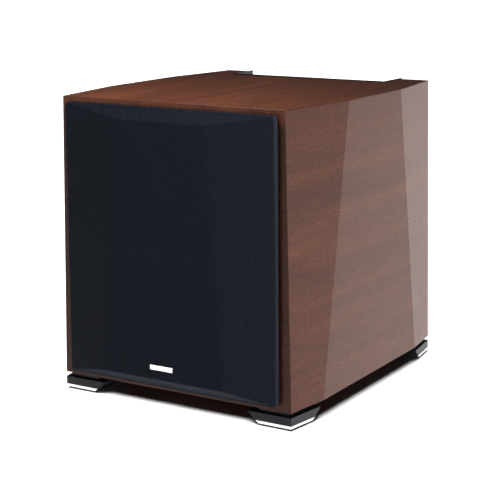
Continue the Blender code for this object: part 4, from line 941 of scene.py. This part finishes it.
# %% Geometry Nodes trees
def repeat_tree(name, numbers, build):
    """A tree with a piece and a finish as inputs, then named numbers. build gives its points."""
    tree = bpy.data.node_groups.new(name, "GeometryNodeTree")
    tree.interface.new_socket("Geometry", in_out="OUTPUT", socket_type="NodeSocketGeometry")
    tree.interface.new_socket("Geometry", in_out="INPUT", socket_type="NodeSocketGeometry")
    tree.interface.new_socket("Piece", in_out="INPUT", socket_type="NodeSocketObject")
    tree.interface.new_socket("Finish", in_out="INPUT", socket_type="NodeSocketMaterial")
    for label, kind in numbers:
        tree.interface.new_socket(label, in_out="INPUT", socket_type=kind)
    given = tree.nodes.new("NodeGroupInput").outputs
    points = build(tree, given)
    piece = add(tree, "GeometryNodeObjectInfo", {"Object": given["Piece"]})
    given_piece = piece.outputs["Geometry"]
    copies = add(tree, "GeometryNodeInstanceOnPoints", {"Points": points, "Instance": given_piece})
    real = add(tree, "GeometryNodeRealizeInstances", {"Geometry": copies.outputs[0]})
    finish = {"Geometry": real.outputs[0], "Material": given["Finish"]}
    done = add(tree, "GeometryNodeSetMaterial", finish)
    add(tree, "NodeGroupOutput", {"Geometry": done.outputs[0]})
    return tree


def circle_points(tree, given):
    ring = add(tree, "GeometryNodeMeshCircle", {"Vertices": given["Count"], "Radius": given["Radius"]})
    turn = add(tree, "ShaderNodeCombineXYZ", {"X": math.pi / 2, "Y": given["Phase"]})
    placed = add(
        tree, "GeometryNodeTransform",
        {"Geometry": ring.outputs[0], "Translation": given["Centre"], "Rotation": turn.outputs[0]},
    )
    return placed.outputs[0]


def row_points(tree, given):
    return add(
        tree, "GeometryNodeMeshLine",
        {"Count": given["Count"], "Start Location": given["Start"], "Offset": given["Pitch"]},
    ).outputs[0]


on_circle = repeat_tree(
    "pieces on a circle",
    [("Count", "NodeSocketInt"), ("Radius", "NodeSocketFloat"), ("Phase", "NodeSocketFloat"),
     ("Centre", "NodeSocketVector")],
    circle_points,
)
in_row = repeat_tree(
    "pieces in a row",
    [("Count", "NodeSocketInt"), ("Start", "NodeSocketVector"), ("Pitch", "NodeSocketVector")],
    row_points,
)
on_marks = repeat_tree("pieces on marked points", [], lambda tree, given: given["Geometry"])


def repeat(tree, template, finish, marks=(), **numbers):
    """Runs a tree on a template shape and gives the realised copies as a bmesh."""
    bmesh.ops.recalc_face_normals(template, faces=template.faces[:])
    mesh = bpy.data.meshes.new("template")
    template.to_mesh(mesh)
    template.free()
    piece = show("template", mesh)
    holder_mesh = bpy.data.meshes.new("marks")
    holder_mesh.from_pydata([tuple(mark) for mark in marks], [], [])
    holder = show("marks", holder_mesh)
    modifier = holder.modifiers.new("repeat", "NODES")
    modifier.node_group = tree
    values = {"Piece": piece, "Finish": finish, **numbers}
    for socket in tree.interface.items_tree:
        if socket.in_out == "INPUT" and socket.name in values:
            modifier[socket.identifier] = values[socket.name]
    bpy.context.view_layer.update()
    graph = bpy.context.evaluated_depsgraph_get()
    made = bpy.data.meshes.new_from_object(holder.evaluated_get(graph))
    shape = bmesh.new()
    shape.from_mesh(made)
    for item in (holder, piece):
        bpy.data.objects.remove(item)
    return shape


print("trees", [tree.name for tree in bpy.data.node_groups])

# %% [markdown]
# ## The driver
# Behind the grille sits a fifteen-inch driver. A cast basket holds a paper cone by a
# rubber roll at its edge and a corrugated cloth spider at its neck. All of these are
# turned shapes, so each is one profile, spun in 80 or more steps.

# %% Driver finishes
cast_paint = grained("black powder paint on cast aluminium", "#2B2C2F", "#1D1E20", 0.50, 1.1, 0.06)
pulp = grained("black paper pulp pressed", "#232325", "#141416", 0.78, 1.6, 0.10)
surround_rubber = grained("butyl rubber moulded satin", "#1A1A1C", "#121213", 0.46, 2.4, 0.01)
zinc_steel = brushed("steel zinc plated turned", "#B9BBBE", "#93969A", 0.34, 1)
ferrite = grained("ferrite sintered", "#2F2F33", "#222225", 0.62, 0.6, 0.04)
foil = brushed("aluminium foil rolled", "#C9CCD0", "#A6A9AD", 0.28, 1)
winding, tree, shader = start_finish("copper wire enamelled wound", 0.30, 1.0)
place = add(tree, "ShaderNodeTexCoord").outputs["Object"]
turns = add(
    tree, "ShaderNodeTexWave", {"Vector": place, "Scale": wave_scale(1.0)}, bands_direction="Y",
)
tint = add(
    tree, "ShaderNodeValToRGB", {"Fac": turns.outputs["Fac"]}, [(0.1, "#5A2A14"), (0.8, "#C0703F")]
)
dress(tree, shader, tint.outputs["Color"], turns.outputs["Fac"], 0.8, 0.0003)
spider_cloth = grained("cotton cloth stiffened with resin", "#A07B3C", "#76562A", 0.85, 0.9, 0.12)
print("driver finishes made")

# %% [markdown]
# The basket is cast aluminium. Its ring is spun whole, and one Boolean then cuts the twelve
# windows that let the air out behind the cone, and the bolt holes, as the casting's cores
# and a drill do.

# %% Basket with its windows
basket = turned(
    bmesh.new(),
    [(0.1655, 0.002), (0.1932, 0.002), (0.194, 0.0028), (0.194, 0.0100), (0.1765, 0.0100),
     (0.1765, 0.018), (0.104, 0.105), (0.104, 0.1255), (0.1035, 0.126), (0.046, 0.126),
     (0.046, 0.121), (0.088, 0.121), (0.088, 0.100), (0.099, 0.100), (0.1695, 0.0165),
     (0.1655, 0.0100)],
    DRIVER,
)
WINDOWS = 12
windows = bmesh.new()
for index in range(WINDOWS):
    middle = 2 * math.pi * (index + 0.5) / WINDOWS
    outline = []
    for radius, turn in ((0.100, -1), (0.240, -1), (0.240, 1), (0.100, 1)):
        a = middle + turn * math.radians(9.0)
        outline.append(DRIVER + Vector((radius * math.cos(a), 0.030, radius * math.sin(a))))
    extrude(windows, outline, (0, 0.058, 0))
hole = [(0, -0.01), (BOLT_HOLE, -0.01), (BOLT_HOLE, 0.03), (0, 0.03)]
for spot in bolt_places():
    turned(windows, hole, spot, sides=20)
basket = cut(basket, windows)
finish_piece("driver_basket_cast", basket, cast_paint, "cabinet", "driver_basket")
print("basket windows", WINDOWS, "bolt holes", BOLTS)

# %% [markdown]
# The cone is pressed paper and narrows to the voice coil's former, a foil tube that carries
# the copper winding in the magnet's gap. A domed paper cap closes the middle. They move as one
# body, so they ride on the cone, and each is its own spun shell with a real wall.

# %% Cone, cap, former and winding
slope = 0.0777 / 0.095


def cone_depth(radius):
    return GAP + (0.133 - radius) * slope


profile = [
    (0.140, GAP), (0.1335, GAP), (0.1325, 0.0006), (0.0385, cone_depth(0.0383)),
    (0.0383, cone_depth(0.0383) + 0.0022), (0.1330, 0.0033), (0.140, 0.0033),
]
finish_piece(
    "driver_cone_pressed", turned(bmesh.new(), profile, DRIVER, sides=128), pulp, "cone",
    "driver_cone",
)
rim = cone_depth(0.0615) - 0.0012
dome = [(0.0615, rim), (0.0615, rim - 0.0014)]
dome += [(0.0615 * (1 - k / 14), rim - 0.0014 - 0.018 * (1 - (1 - k / 14) ** 2)) for k in range(1, 15)]
dome += [(0.0615 * (1 - k / 14), rim - 0.018 * (1 - (1 - k / 14) ** 2)) for k in range(14, 0, -1)]
finish_piece(
    "driver_dust_cap_pressed", turned(bmesh.new(), dome, DRIVER, sides=96), pulp, "cone",
    "driver_dust_cap",
)
tube = [(0.0375, 0.077), (0.038, 0.077), (0.038, 0.147), (0.0375, 0.147)]
tube = turned(bmesh.new(), tube, DRIVER)
finish_piece("voice_coil_former_rolled", tube, foil, "cone", "voice_coil_former")
coil = [
    (0.0383, 0.118), (0.0398, 0.118), (0.0400, 0.1182), (0.0400, 0.1458), (0.0398, 0.146),
    (0.0383, 0.146),
]
coil = turned(bmesh.new(), coil, DRIVER)
finish_piece("voice_coil_winding_wound", coil, winding, "cone", "voice_coil_winding")
print("moving parts made")

# %% [markdown]
# The roll surround and the spider join the moving cone to the fixed basket, so they have
# to bend as it moves. So each ring is made in sectors, like slices of a cake. Neighbouring
# slices meet exactly.


# %% Surround and spider in bending sectors
def ring_sectors(node, profile, finish, count=12, steps=8):
    for index in range(count):
        shape = bmesh.new()
        rows = []
        for step in range(steps + 1):
            a = 2 * math.pi * (index + step / steps) / count
            out = Vector((math.cos(a), 0, math.sin(a)))
            rows.append([shape.verts.new(DRIVER + out * r + Vector((0, y, 0))) for r, y in profile])
        for near, far in zip(rows, rows[1:]):
            for k in range(len(profile)):
                after = (k + 1) % len(profile)
                shape.faces.new((near[k], near[after], far[after], far[k]))
        shape.faces.new(rows[0])
        shape.faces.new(rows[-1])
        a = 2 * math.pi * (index + 0.5) / count
        out = Vector((math.cos(a), 0, math.sin(a)))
        bmesh.ops.recalc_face_normals(shape, faces=shape.faces[:])
        mesh = bpy.data.meshes.new(f"{node}_{index + 1:02d}")
        shape.to_mesh(mesh)
        shape.free()
        mesh.shade_smooth()
        mesh.set_sharp_from_angle(angle=math.radians(50))
        mesh.materials.append(finish)
        piece = show(mesh.name, mesh)
        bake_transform(piece)
        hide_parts(node)


middle, reach, thick, low = 0.1530, 0.0125, 0.0014, 0.0003
roll = [(0.1335, 0.0001), (0.1335, -0.0011), (0.1399, -0.0011)]
roll += [(middle - reach * math.cos(a), low - reach * math.sin(a)) for a in
         [math.radians(15 + 165 * k / 14) for k in range(15)]]
roll += [(0.178, low), (0.178, low + thick)]
roll += [(middle + (reach - thick) * math.cos(a), low + thick - (reach - thick) * math.sin(a)) for a in
         [math.radians(180 * k / 14) for k in range(14)]]
roll += [(0.1404, 0.0004), (0.1404, 0.0001)]
ring_sectors("driver_surround", roll, surround_rubber)
face = 0.0989
radii = [0.0386 + 0.0489 * k / 42 for k in range(43)]
waves = [(r, face - 0.0025 * math.sin(2 * math.pi * 6 * k / 42)) for k, r in enumerate(radii)]
waves.append((0.0975, face))
waves += [(r, y + 0.0008) for r, y in reversed(waves)]
ring_sectors(
    "driver_spider", waves, spider_cloth, count=8, steps=10
)

# %% [markdown]
# The motor is three stacked rings: a top plate, a ferrite magnet and a plate with a hollow
# pole. They are turned with small chamfers, as machined steel is. The terminal and its lead
# are already right in the frame and are only copied.

# %% Trim ring, motor and terminal
ring = [
    (0.1665, -0.0002), (0.1665, -0.0022), (0.1673, -0.0030), (0.1782, -0.0030), (0.179, -0.0022),
    (0.179, 0.0),
]
ring = turned(bmesh.new(), ring, DRIVER)
finish_piece("driver_trim_ring_moulded", ring, rubber, "cabinet", "driver_trim_ring")
for node, finish, slot, ring in (
    ("driver_top_plate", zinc_steel, "plated_steel",
     [(0.0415, 0.1263), (0.084, 0.1263), (0.085, 0.1273), (0.085, 0.1383), (0.0415, 0.1383)]),
    ("driver_magnet", ferrite, "ferrite",
     [(0.050, 0.1386), (0.0885, 0.1386), (0.090, 0.1401), (0.090, 0.1671), (0.0885, 0.1686),
      (0.050, 0.1686)]),
    ("driver_pole_plate", zinc_steel, "plated_steel",
     [(0.0125, 0.1263), (0.0360, 0.1263), (0.0365, 0.1268), (0.0365, 0.1689), (0.085, 0.1689),
      (0.085, 0.1797), (0.0838, 0.1809), (0.0140, 0.1809), (0.0125, 0.1794)]),
):
    ring = turned(bmesh.new(), ring, DRIVER)
    finish_piece(node + "_turned", ring, finish, "cabinet", node)
black_plastic = grained("black polyamide moulded", "#1A1B1D", "#111214", 0.42, 0.7, 0.02)
sheath = grained("PVC cable sheath extruded", "#2A2A2E", "#202024", 0.55, 1.5, 0.02)
softened_copy("driver_terminal", 0.0005, black_plastic, "cabinet")
softened_copy("speaker_lead", 0.0, sheath, "cabinet")
print("trim ring, motor, terminal and lead made")

# %% [markdown]
# Eight black socket-head bolts hold the driver to the baffle. One is turned and given its
# hexagonal recess, and the circle tree sets it eight times.

# %% Driver bolts
black_steel = grained("steel bolt black oxide", "#26272A", "#17181A", 0.36, 0.5, 0.01, metallic=0.9)
bolt = turned(
    bmesh.new(),
    [(0, -0.0012), (0.0040, -0.0012), (0.0048, -0.0005), (0.0048, 0.0018), (0.0030, 0.0018),
     (0.0030, 0.0185), (0, 0.0190)],
    (0, 0, 0), sides=24,
)
socket = [(0, -0.003), (0.0024, -0.003), (0.0024, 0.0008), (0, 0.0008)]
recess = turned(bmesh.new(), socket, (0, 0, 0), sides=6)
bolts = repeat(
    on_circle, cut(bolt, recess), black_steel, Count=BOLTS, Radius=BOLT_CIRCLE,
    Phase=math.pi / BOLTS, Centre=tuple(DRIVER),
)
finish_piece("driver_bolts", bolts, black_steel, "cabinet")
print("bolts", BOLTS)

# %% [markdown]
# Four rubber cups in the baffle grip the grille's pegs. Each is a thin spun cup with a
# rounded flange that rests on the veneer.

# %% Peg sockets in the baffle
for word in CORNERS:
    spot = middle_of("grille_socket_" + word, FRONT_Y)
    cup = [(0, 0.014), (0.0057, 0.014), (0.0057, -GAP), (0.0075, -GAP), (0.0075, -0.0009), (0.0071, -0.0013),
           (0.0045, -0.0013), (0.0041, -0.0008), (0.0041, 0.0123), (0, 0.0123)]
    finish_piece(
        f"grille_socket_{word}_moulded", turned(bmesh.new(), cup, spot, sides=32), rubber, "cabinet",
        "grille_socket_" + word,
    )
print("sockets", len(CORNERS))

# %% [markdown]
# ## The amplifier
# At the back, a black anodised plate carries the heatsink and every control. Anodising
# keeps the metal's brushed lines under a dark satin skin. The fins are extruded with the
# base in the real part; here one tapered fin with a rounded tip is set nineteen times.

# %% Amplifier finishes
black_plate = brushed("aluminium brushed and anodised black", "#2A2B2E", "#1C1D1F", 0.38, 0, 0.75, 0.8)
sink_metal = brushed("aluminium extruded anodised black", "#242528", "#18191B", 0.42, 2, 0.75, 1.2)
zinc_sheet = grained("steel sheet zinc coated", "#A9ACAF", "#8A8D91", 0.38, 9.0, 0.01, metallic=0.9)
print("plate finishes made")

# %% [markdown]
# The base is one block, and the row tree sets the fins along it. Their pitch is worked out
# from the heatsink's own box in the frame, so a wider heatsink would get wider gaps.

# %% Heatsink
low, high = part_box("heatsink")
FINS, FIN_WIDTH = 19, 0.0025
pitch = (high.x - low.x - FIN_WIDTH) / (FINS - 1)
root, tip = low.y + 0.0058, high.y
outline = [(-0.00125, root), (0.00125, root), (0.00095, tip - 0.0008), (0.00055, tip - 0.0001), (0, tip),
           (-0.00055, tip - 0.0001), (-0.00095, tip - 0.0008)]
fin = extrude(bmesh.new(), [(x, y, low.z) for x, y in outline], (0, 0, high.z - low.z))
fins = repeat(
    in_row, fin, sink_metal, Count=FINS, Start=(low.x + FIN_WIDTH / 2, 0.0, 0.0),
    Pitch=(pitch, 0.0, 0.0),
)
block = bmesh.new()
add_block(block, low, (high.x, low.y + 0.006, high.z))
soften(block, 0.0006, 2)
mesh = bpy.data.meshes.new("work")
block.to_mesh(mesh)
block.free()
fins.from_mesh(mesh)
finish_piece("heatsink_finned", fins, sink_metal, "cabinet", "heatsink")
print("fins", FINS, "pitch mm", round(pitch * 1000, 2))

# %% [markdown]
# The plate covers the opening at the bottom of the channel, and behind it a sheet steel tub
# keeps the electronics apart from the air in the cabinet. Softened copies are enough here.

# %% Plate, tub and boards
softened_copy("amp_plate", 0.0003, black_plate, "cabinet")
softened_copy("amp_tub", 0.0004, zinc_sheet, "cabinet")
for node in ("back_panel", "window_brace"):
    softened_copy(node, 0.0005, fibreboard, "cabinet")
print("plate, tub, back panel and brace made")

# %% [markdown]
# The plate is held by pan-head screws with a cross recess. Their places follow the plate's
# edges: six down each side and one in the middle of each end. The tree that works on
# marked points sets them, and it sets the hidden foot screws too.

# %% Plate screws and foot screws
def cross_screw(head, shank, length, tall, axis):
    profile = [
        (0, tall), (head * 0.55, tall * 0.93), (head * 0.88, tall * 0.62), (head, tall * 0.2),
        (head, 0.0), (shank, 0.0), (shank, 0.003 - length), (0, -length),
    ]
    shape = turned(bmesh.new(), profile, (0, 0, 0), axis, sides=20)
    recess = bmesh.new()
    arm, slit, deep = head * 0.55, head * 0.13, tall * 0.45
    for x, z in ((arm, slit), (slit, arm)):
        if axis[1]:
            add_block(recess, (-x, deep, -z), (x, tall * 2, z))
        else:
            add_block(recess, (-x, -z, -tall * 2), (x, z, -deep))
    return cut(shape, recess)


low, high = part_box("amp_plate")
rows = [low.z + 0.010 + (high.z - low.z - 0.020) * k / 5 for k in range(6)]
marks = [(side * 0.140, PLATE_Y, z) for side in (-1, 1) for z in rows]
marks += [(0.0, PLATE_Y, rows[0]), (0.0, PLATE_Y, rows[-1])]
screws = repeat(on_marks, cross_screw(0.0035, 0.0018, 0.0155, 0.0021, (0, 1, 0)), black_steel, marks)
finish_piece("amp_plate_screws", screws, black_steel, "cabinet")
marks = []
for side in (-1, 1):
    for end, end_y in ((-1, FRONT_Y), (1, BACK_Y)):
        for inwards, along in ((0.030, 0.045), (0.055, 0.025)):
            marks.append((side * (HALF_FRONT_BOTTOM - inwards), end_y - end * along, 0.0135))
foot_screws = repeat(on_marks, cross_screw(0.0056, 0.0028, 0.029, 0.0036, (0, 0, -1)), black_steel, marks)
finish_piece("foot_screws", foot_screws, black_steel, "cabinet")
print("plate and foot screws made, the last", len(marks))

# %% [markdown]
# Knobs have fine flutes for the fingers. A flute is a shallow wave in the radius, so the
# knob is still a turned shape, with the radius changed a little at each angle. A white
# printed line on each knob and a fan of plain ticks round it show its setting.


# %% Knobs and their scales
FLUTES, FLUTE_DEPTH = 24, 0.035


def flutes(angle, radius, reach):
    if radius <= 0.0095 or reach >= 0.0150:
        return 1.0
    return 1.0 - FLUTE_DEPTH * (0.5 + 0.5 * math.cos(FLUTES * angle))


white_print = grained("white ink screen printed", "#E4E5E6", "#D6D7D8", 0.55, 0.5, 0.005)
ticks = bmesh.new()
for word in ("level", "cutoff", "phase"):
    spot = middle_of(word + "_knob", PLATE_Y)
    body = [
        (0, 0.016), (0.0088, 0.016), (0.0096, 0.0155), (0.0108, 0.0143), (0.0111, 0.0085),
        (0.0113, 0.0032), (0.0117, 0.0028), (0.0117, 0.0010), (0.0114, 0.0006), (0.0034, 0.0006),
        (0.0034, 0.0123), (0, 0.0123),
    ]
    knob = turned(bmesh.new(), body, spot, sides=144, bulge=flutes)
    finish_piece(word + "_knob_fluted", knob, black_plastic, word, word + "_knob")
    line = bmesh.new()
    add_block(line, spot + Vector((-0.0006, 0.0159, 0.0030)), spot + Vector((0.0006, 0.01612, 0.0086)))
    soften(line, 0.00008, 1)
    finish_piece(word + "_knob_pointer", line, white_print, word)
    for k in range(11):
        a = math.radians(-60 + 30 * k)
        long = 0.0026 if k % 5 == 0 else 0.0016
        made = add_block(ticks, (0.0142, 0.0001, -0.00025), (0.0142 + long, 0.00022, 0.00025))
        for vert in made:
            x, y, z = vert.co
            about = (x * math.cos(a) - z * math.sin(a), y, x * math.sin(a) + z * math.cos(a))
            vert.co = spot + Vector(about)
finish_piece("control_scale_print", ticks, white_print, "cabinet")
softened_copy("control_board", 0.0002, zinc_sheet, "cabinet")
print("knobs, scales and control board made")

# %% [markdown]
# Four gold-plated phono jacks stand in two columns. The barrels and the colour rings are
# spun, and the tree for marked points sets a hexagonal nut on each. The rings' red and white
# follow the usual colours for right and left.

# %% Jacks, with their nuts and colour rings
gold = brushed("brass gold plated turned", "#D9B45F", "#B58C3C", 0.22, 1, 1.0, 0.6)
low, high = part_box("input_jacks")
jacks, marks = bmesh.new(), []
rings = {"red": bmesh.new(), "white": bmesh.new()}
barrel = [
    (0, -0.0060), (0.0041, -0.0060), (0.0041, 0.0102), (0.0037, 0.0108), (0.0021, 0.0108),
    (0.0017, 0.0104), (0.0017, 0.0030), (0, 0.0030),
]
collar = [
    (0.0043, 0.0017), (0.0052, 0.0017), (0.0054, 0.0020), (0.0054, 0.0030), (0.0050, 0.0034),
    (0.0043, 0.0034),
]
for column, x in enumerate((0.006, 0.030)):
    for height in (0.088, 0.114):
        spot = Vector((x, PLATE_Y, BASE_Z + height))
        marks.append(tuple(spot))
        turned(jacks, barrel, spot, sides=40)
        turned(rings["red" if column else "white"], collar, spot, sides=40)
add_block(jacks, low, (high.x, PLATE_Y - 0.0034, high.z))
finish_piece("input_jacks_turned", jacks, gold, "cabinet", "input_jacks")
ring_codes = {"red": ("#B3241F", "#971A17"), "white": ("#E2E2DE", "#CFCFCA")}
for word, shape in rings.items():
    finish = grained(f"{word} ABS ring moulded", *ring_codes[word], 0.35, 1.0, 0.005)
    finish_piece(f"jack_rings_{word}", shape, finish, "cabinet")
nut = [
    (0.0043, 0.0001), (0.0061, 0.0001), (0.0062, 0.0004), (0.0062, 0.0012), (0.0059, 0.0016),
    (0.0043, 0.0016),
]
nut = turned(bmesh.new(), nut, (0, 0, 0), sides=6)
finish_piece("jack_nuts", repeat(on_marks, nut, gold, marks), gold, "cabinet")
print("jacks", len(marks))

# %% [markdown]
# The mains inlet, its fuse drawer and the switches are black moulded plastic, and their shapes
# are right in the frame, so softened copies do. The inlet's three blades are added, and the
# lamp's lens is a small spun dome of blue acrylic.

# %% Inlet, fuse drawer, switches and lamp
for node, width, body in (
    ("mains_inlet", 0.0004, "cabinet"), ("fuse_drawer", 0.0004, "drawer"),
    ("power_switch_frame", 0.0004, "cabinet"), ("power_rocker", 0.0005, "rocker"),
    ("mode_switch", 0.0004, "mode"),
):
    softened_copy(node, width, black_plastic, body)
blades = bmesh.new()
for x, z in ((-0.007, -0.001), (0.0, 0.003), (0.007, -0.001)):
    spot = Vector((0.100 + x, PLATE_Y, BASE_Z + 0.1035 + z))
    near, far = Vector((-0.0012, -0.0135, -0.0022)), Vector((0.0012, 0.0021, 0.0022))
    add_block(blades, spot + near, spot + far)
soften(blades, 0.0004, 2)
finish_piece("mains_inlet_blades", blades, zinc_steel, "cabinet")
lens, tree, shader = start_finish("acrylic lamp lens moulded blue", 0.12)
shader.inputs["Coat Weight"].default_value = 0.5
shader.inputs["Emission Color"].default_value = colour("#3C8BFF")
shader.inputs["Emission Strength"].default_value = 0.6
cloud = add(tree, "ShaderNodeTexNoise", {"Scale": 900.0})
tint = add(tree, "ShaderNodeValToRGB", {"Fac": cloud.outputs["Fac"]}, [(0.3, "#2F66B8"), (0.7, "#4E8CE0")])
tree.links.new(tint.outputs["Color"], shader.inputs["Base Color"])
spot = Vector((-0.095, PLATE_Y, BASE_Z + 0.100))
bulb = [
    (0, -0.006), (0.0025, -0.006), (0.0025, 0.0008), (0.0023, 0.0015), (0.0018, 0.0021),
    (0.0010, 0.0025), (0, 0.0026),
]
bulb = turned(bmesh.new(), bulb, spot, sides=32)
finish_piece("status_lamp_lens", bulb, lens, "cabinet", "status_lamp")
print("controls made")

# %% [markdown]
# Inside the sheet tub are a toroidal transformer wound with tape, two smoothing
# capacitors in printed sleeves, and a green circuit board. They never show from outside,
# but the model can be opened, so each still gets its true finish.

# %% Transformer, capacitors and circuit board
tape, tree, shader = start_finish("polyester tape wound", 0.42)
place = add(tree, "ShaderNodeTexCoord").outputs["Object"]
centred = add(tree, "ShaderNodeMapping", {"Vector": place, "Location": (0.045, 0.0, -0.169)})
folds = add(tree, "ShaderNodeSeparateXYZ", {"Vector": centred.outputs[0]})
turn = add(tree, "ShaderNodeMath", {0: folds.outputs["Z"], 1: folds.outputs["X"]}, operation="ARCTAN2")
laps = add(tree, "ShaderNodeMath", {0: turn.outputs[0], 1: 38.0}, operation="MULTIPLY")
laps = add(tree, "ShaderNodeMath", {0: laps.outputs[0]}, operation="SINE")
tint = add(tree, "ShaderNodeValToRGB", {"Fac": laps.outputs[0]}, [(0.0, "#8C6A1C"), (0.9, "#C9A43A")])
dress(tree, shader, tint.outputs["Color"], laps.outputs[0], 0.6, 0.0003)


def squarish(v):
    return math.copysign(abs(v) ** 0.45, v)


core = []
for k in range(24):
    a = 2 * math.pi * k / 24
    core.append((0.036 + 0.018 * squarish(math.cos(a)), 0.0225 + 0.0225 * squarish(math.sin(a))))
spot = middle_of("toroid_transformer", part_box("toroid_transformer")[0].y)
finish_piece(
    "toroid_transformer_wound", turned(bmesh.new(), core, spot), tape, "cabinet",
    "toroid_transformer",
)
sleeve = grained("PVC shrink sleeve", "#232A36", "#1A1F29", 0.30, 3.0, 0.01)
can = [
    (0, 0), (0.0165, 0), (0.0172, -0.0008), (0.0172, -0.0030), (0.0168, -0.0040), (0.0175, -0.0052),
    (0.0175, -0.0488), (0.0168, -0.0499), (0.0155, -0.0499), (0.0150, -0.0493), (0, -0.0493),
]
for word in ("left", "right"):
    node = "capacitor_" + word
    shape = turned(bmesh.new(), can, middle_of(node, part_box(node)[1].y), sides=48)
    finish_piece(node + "_sleeved", shape, sleeve, "cabinet", node)
board, tree, shader = start_finish("glass epoxy board green solder mask", 0.30)
place = add(tree, "ShaderNodeTexCoord").outputs["Object"]
tracks = add(tree, "ShaderNodeTexVoronoi", {"Vector": place, "Scale": 160.0}, distance="MANHATTAN")
relief = tracks.outputs["Distance"]
tint = add(tree, "ShaderNodeValToRGB", {"Fac": relief}, [(0.25, "#1B5A36"), (0.32, "#2B7A4B")])
dress(tree, shader, tint.outputs["Color"], relief, 0.3, 0.00005)
softened_copy("amp_board", 0.0001, board, "cabinet")
print("electronics made")
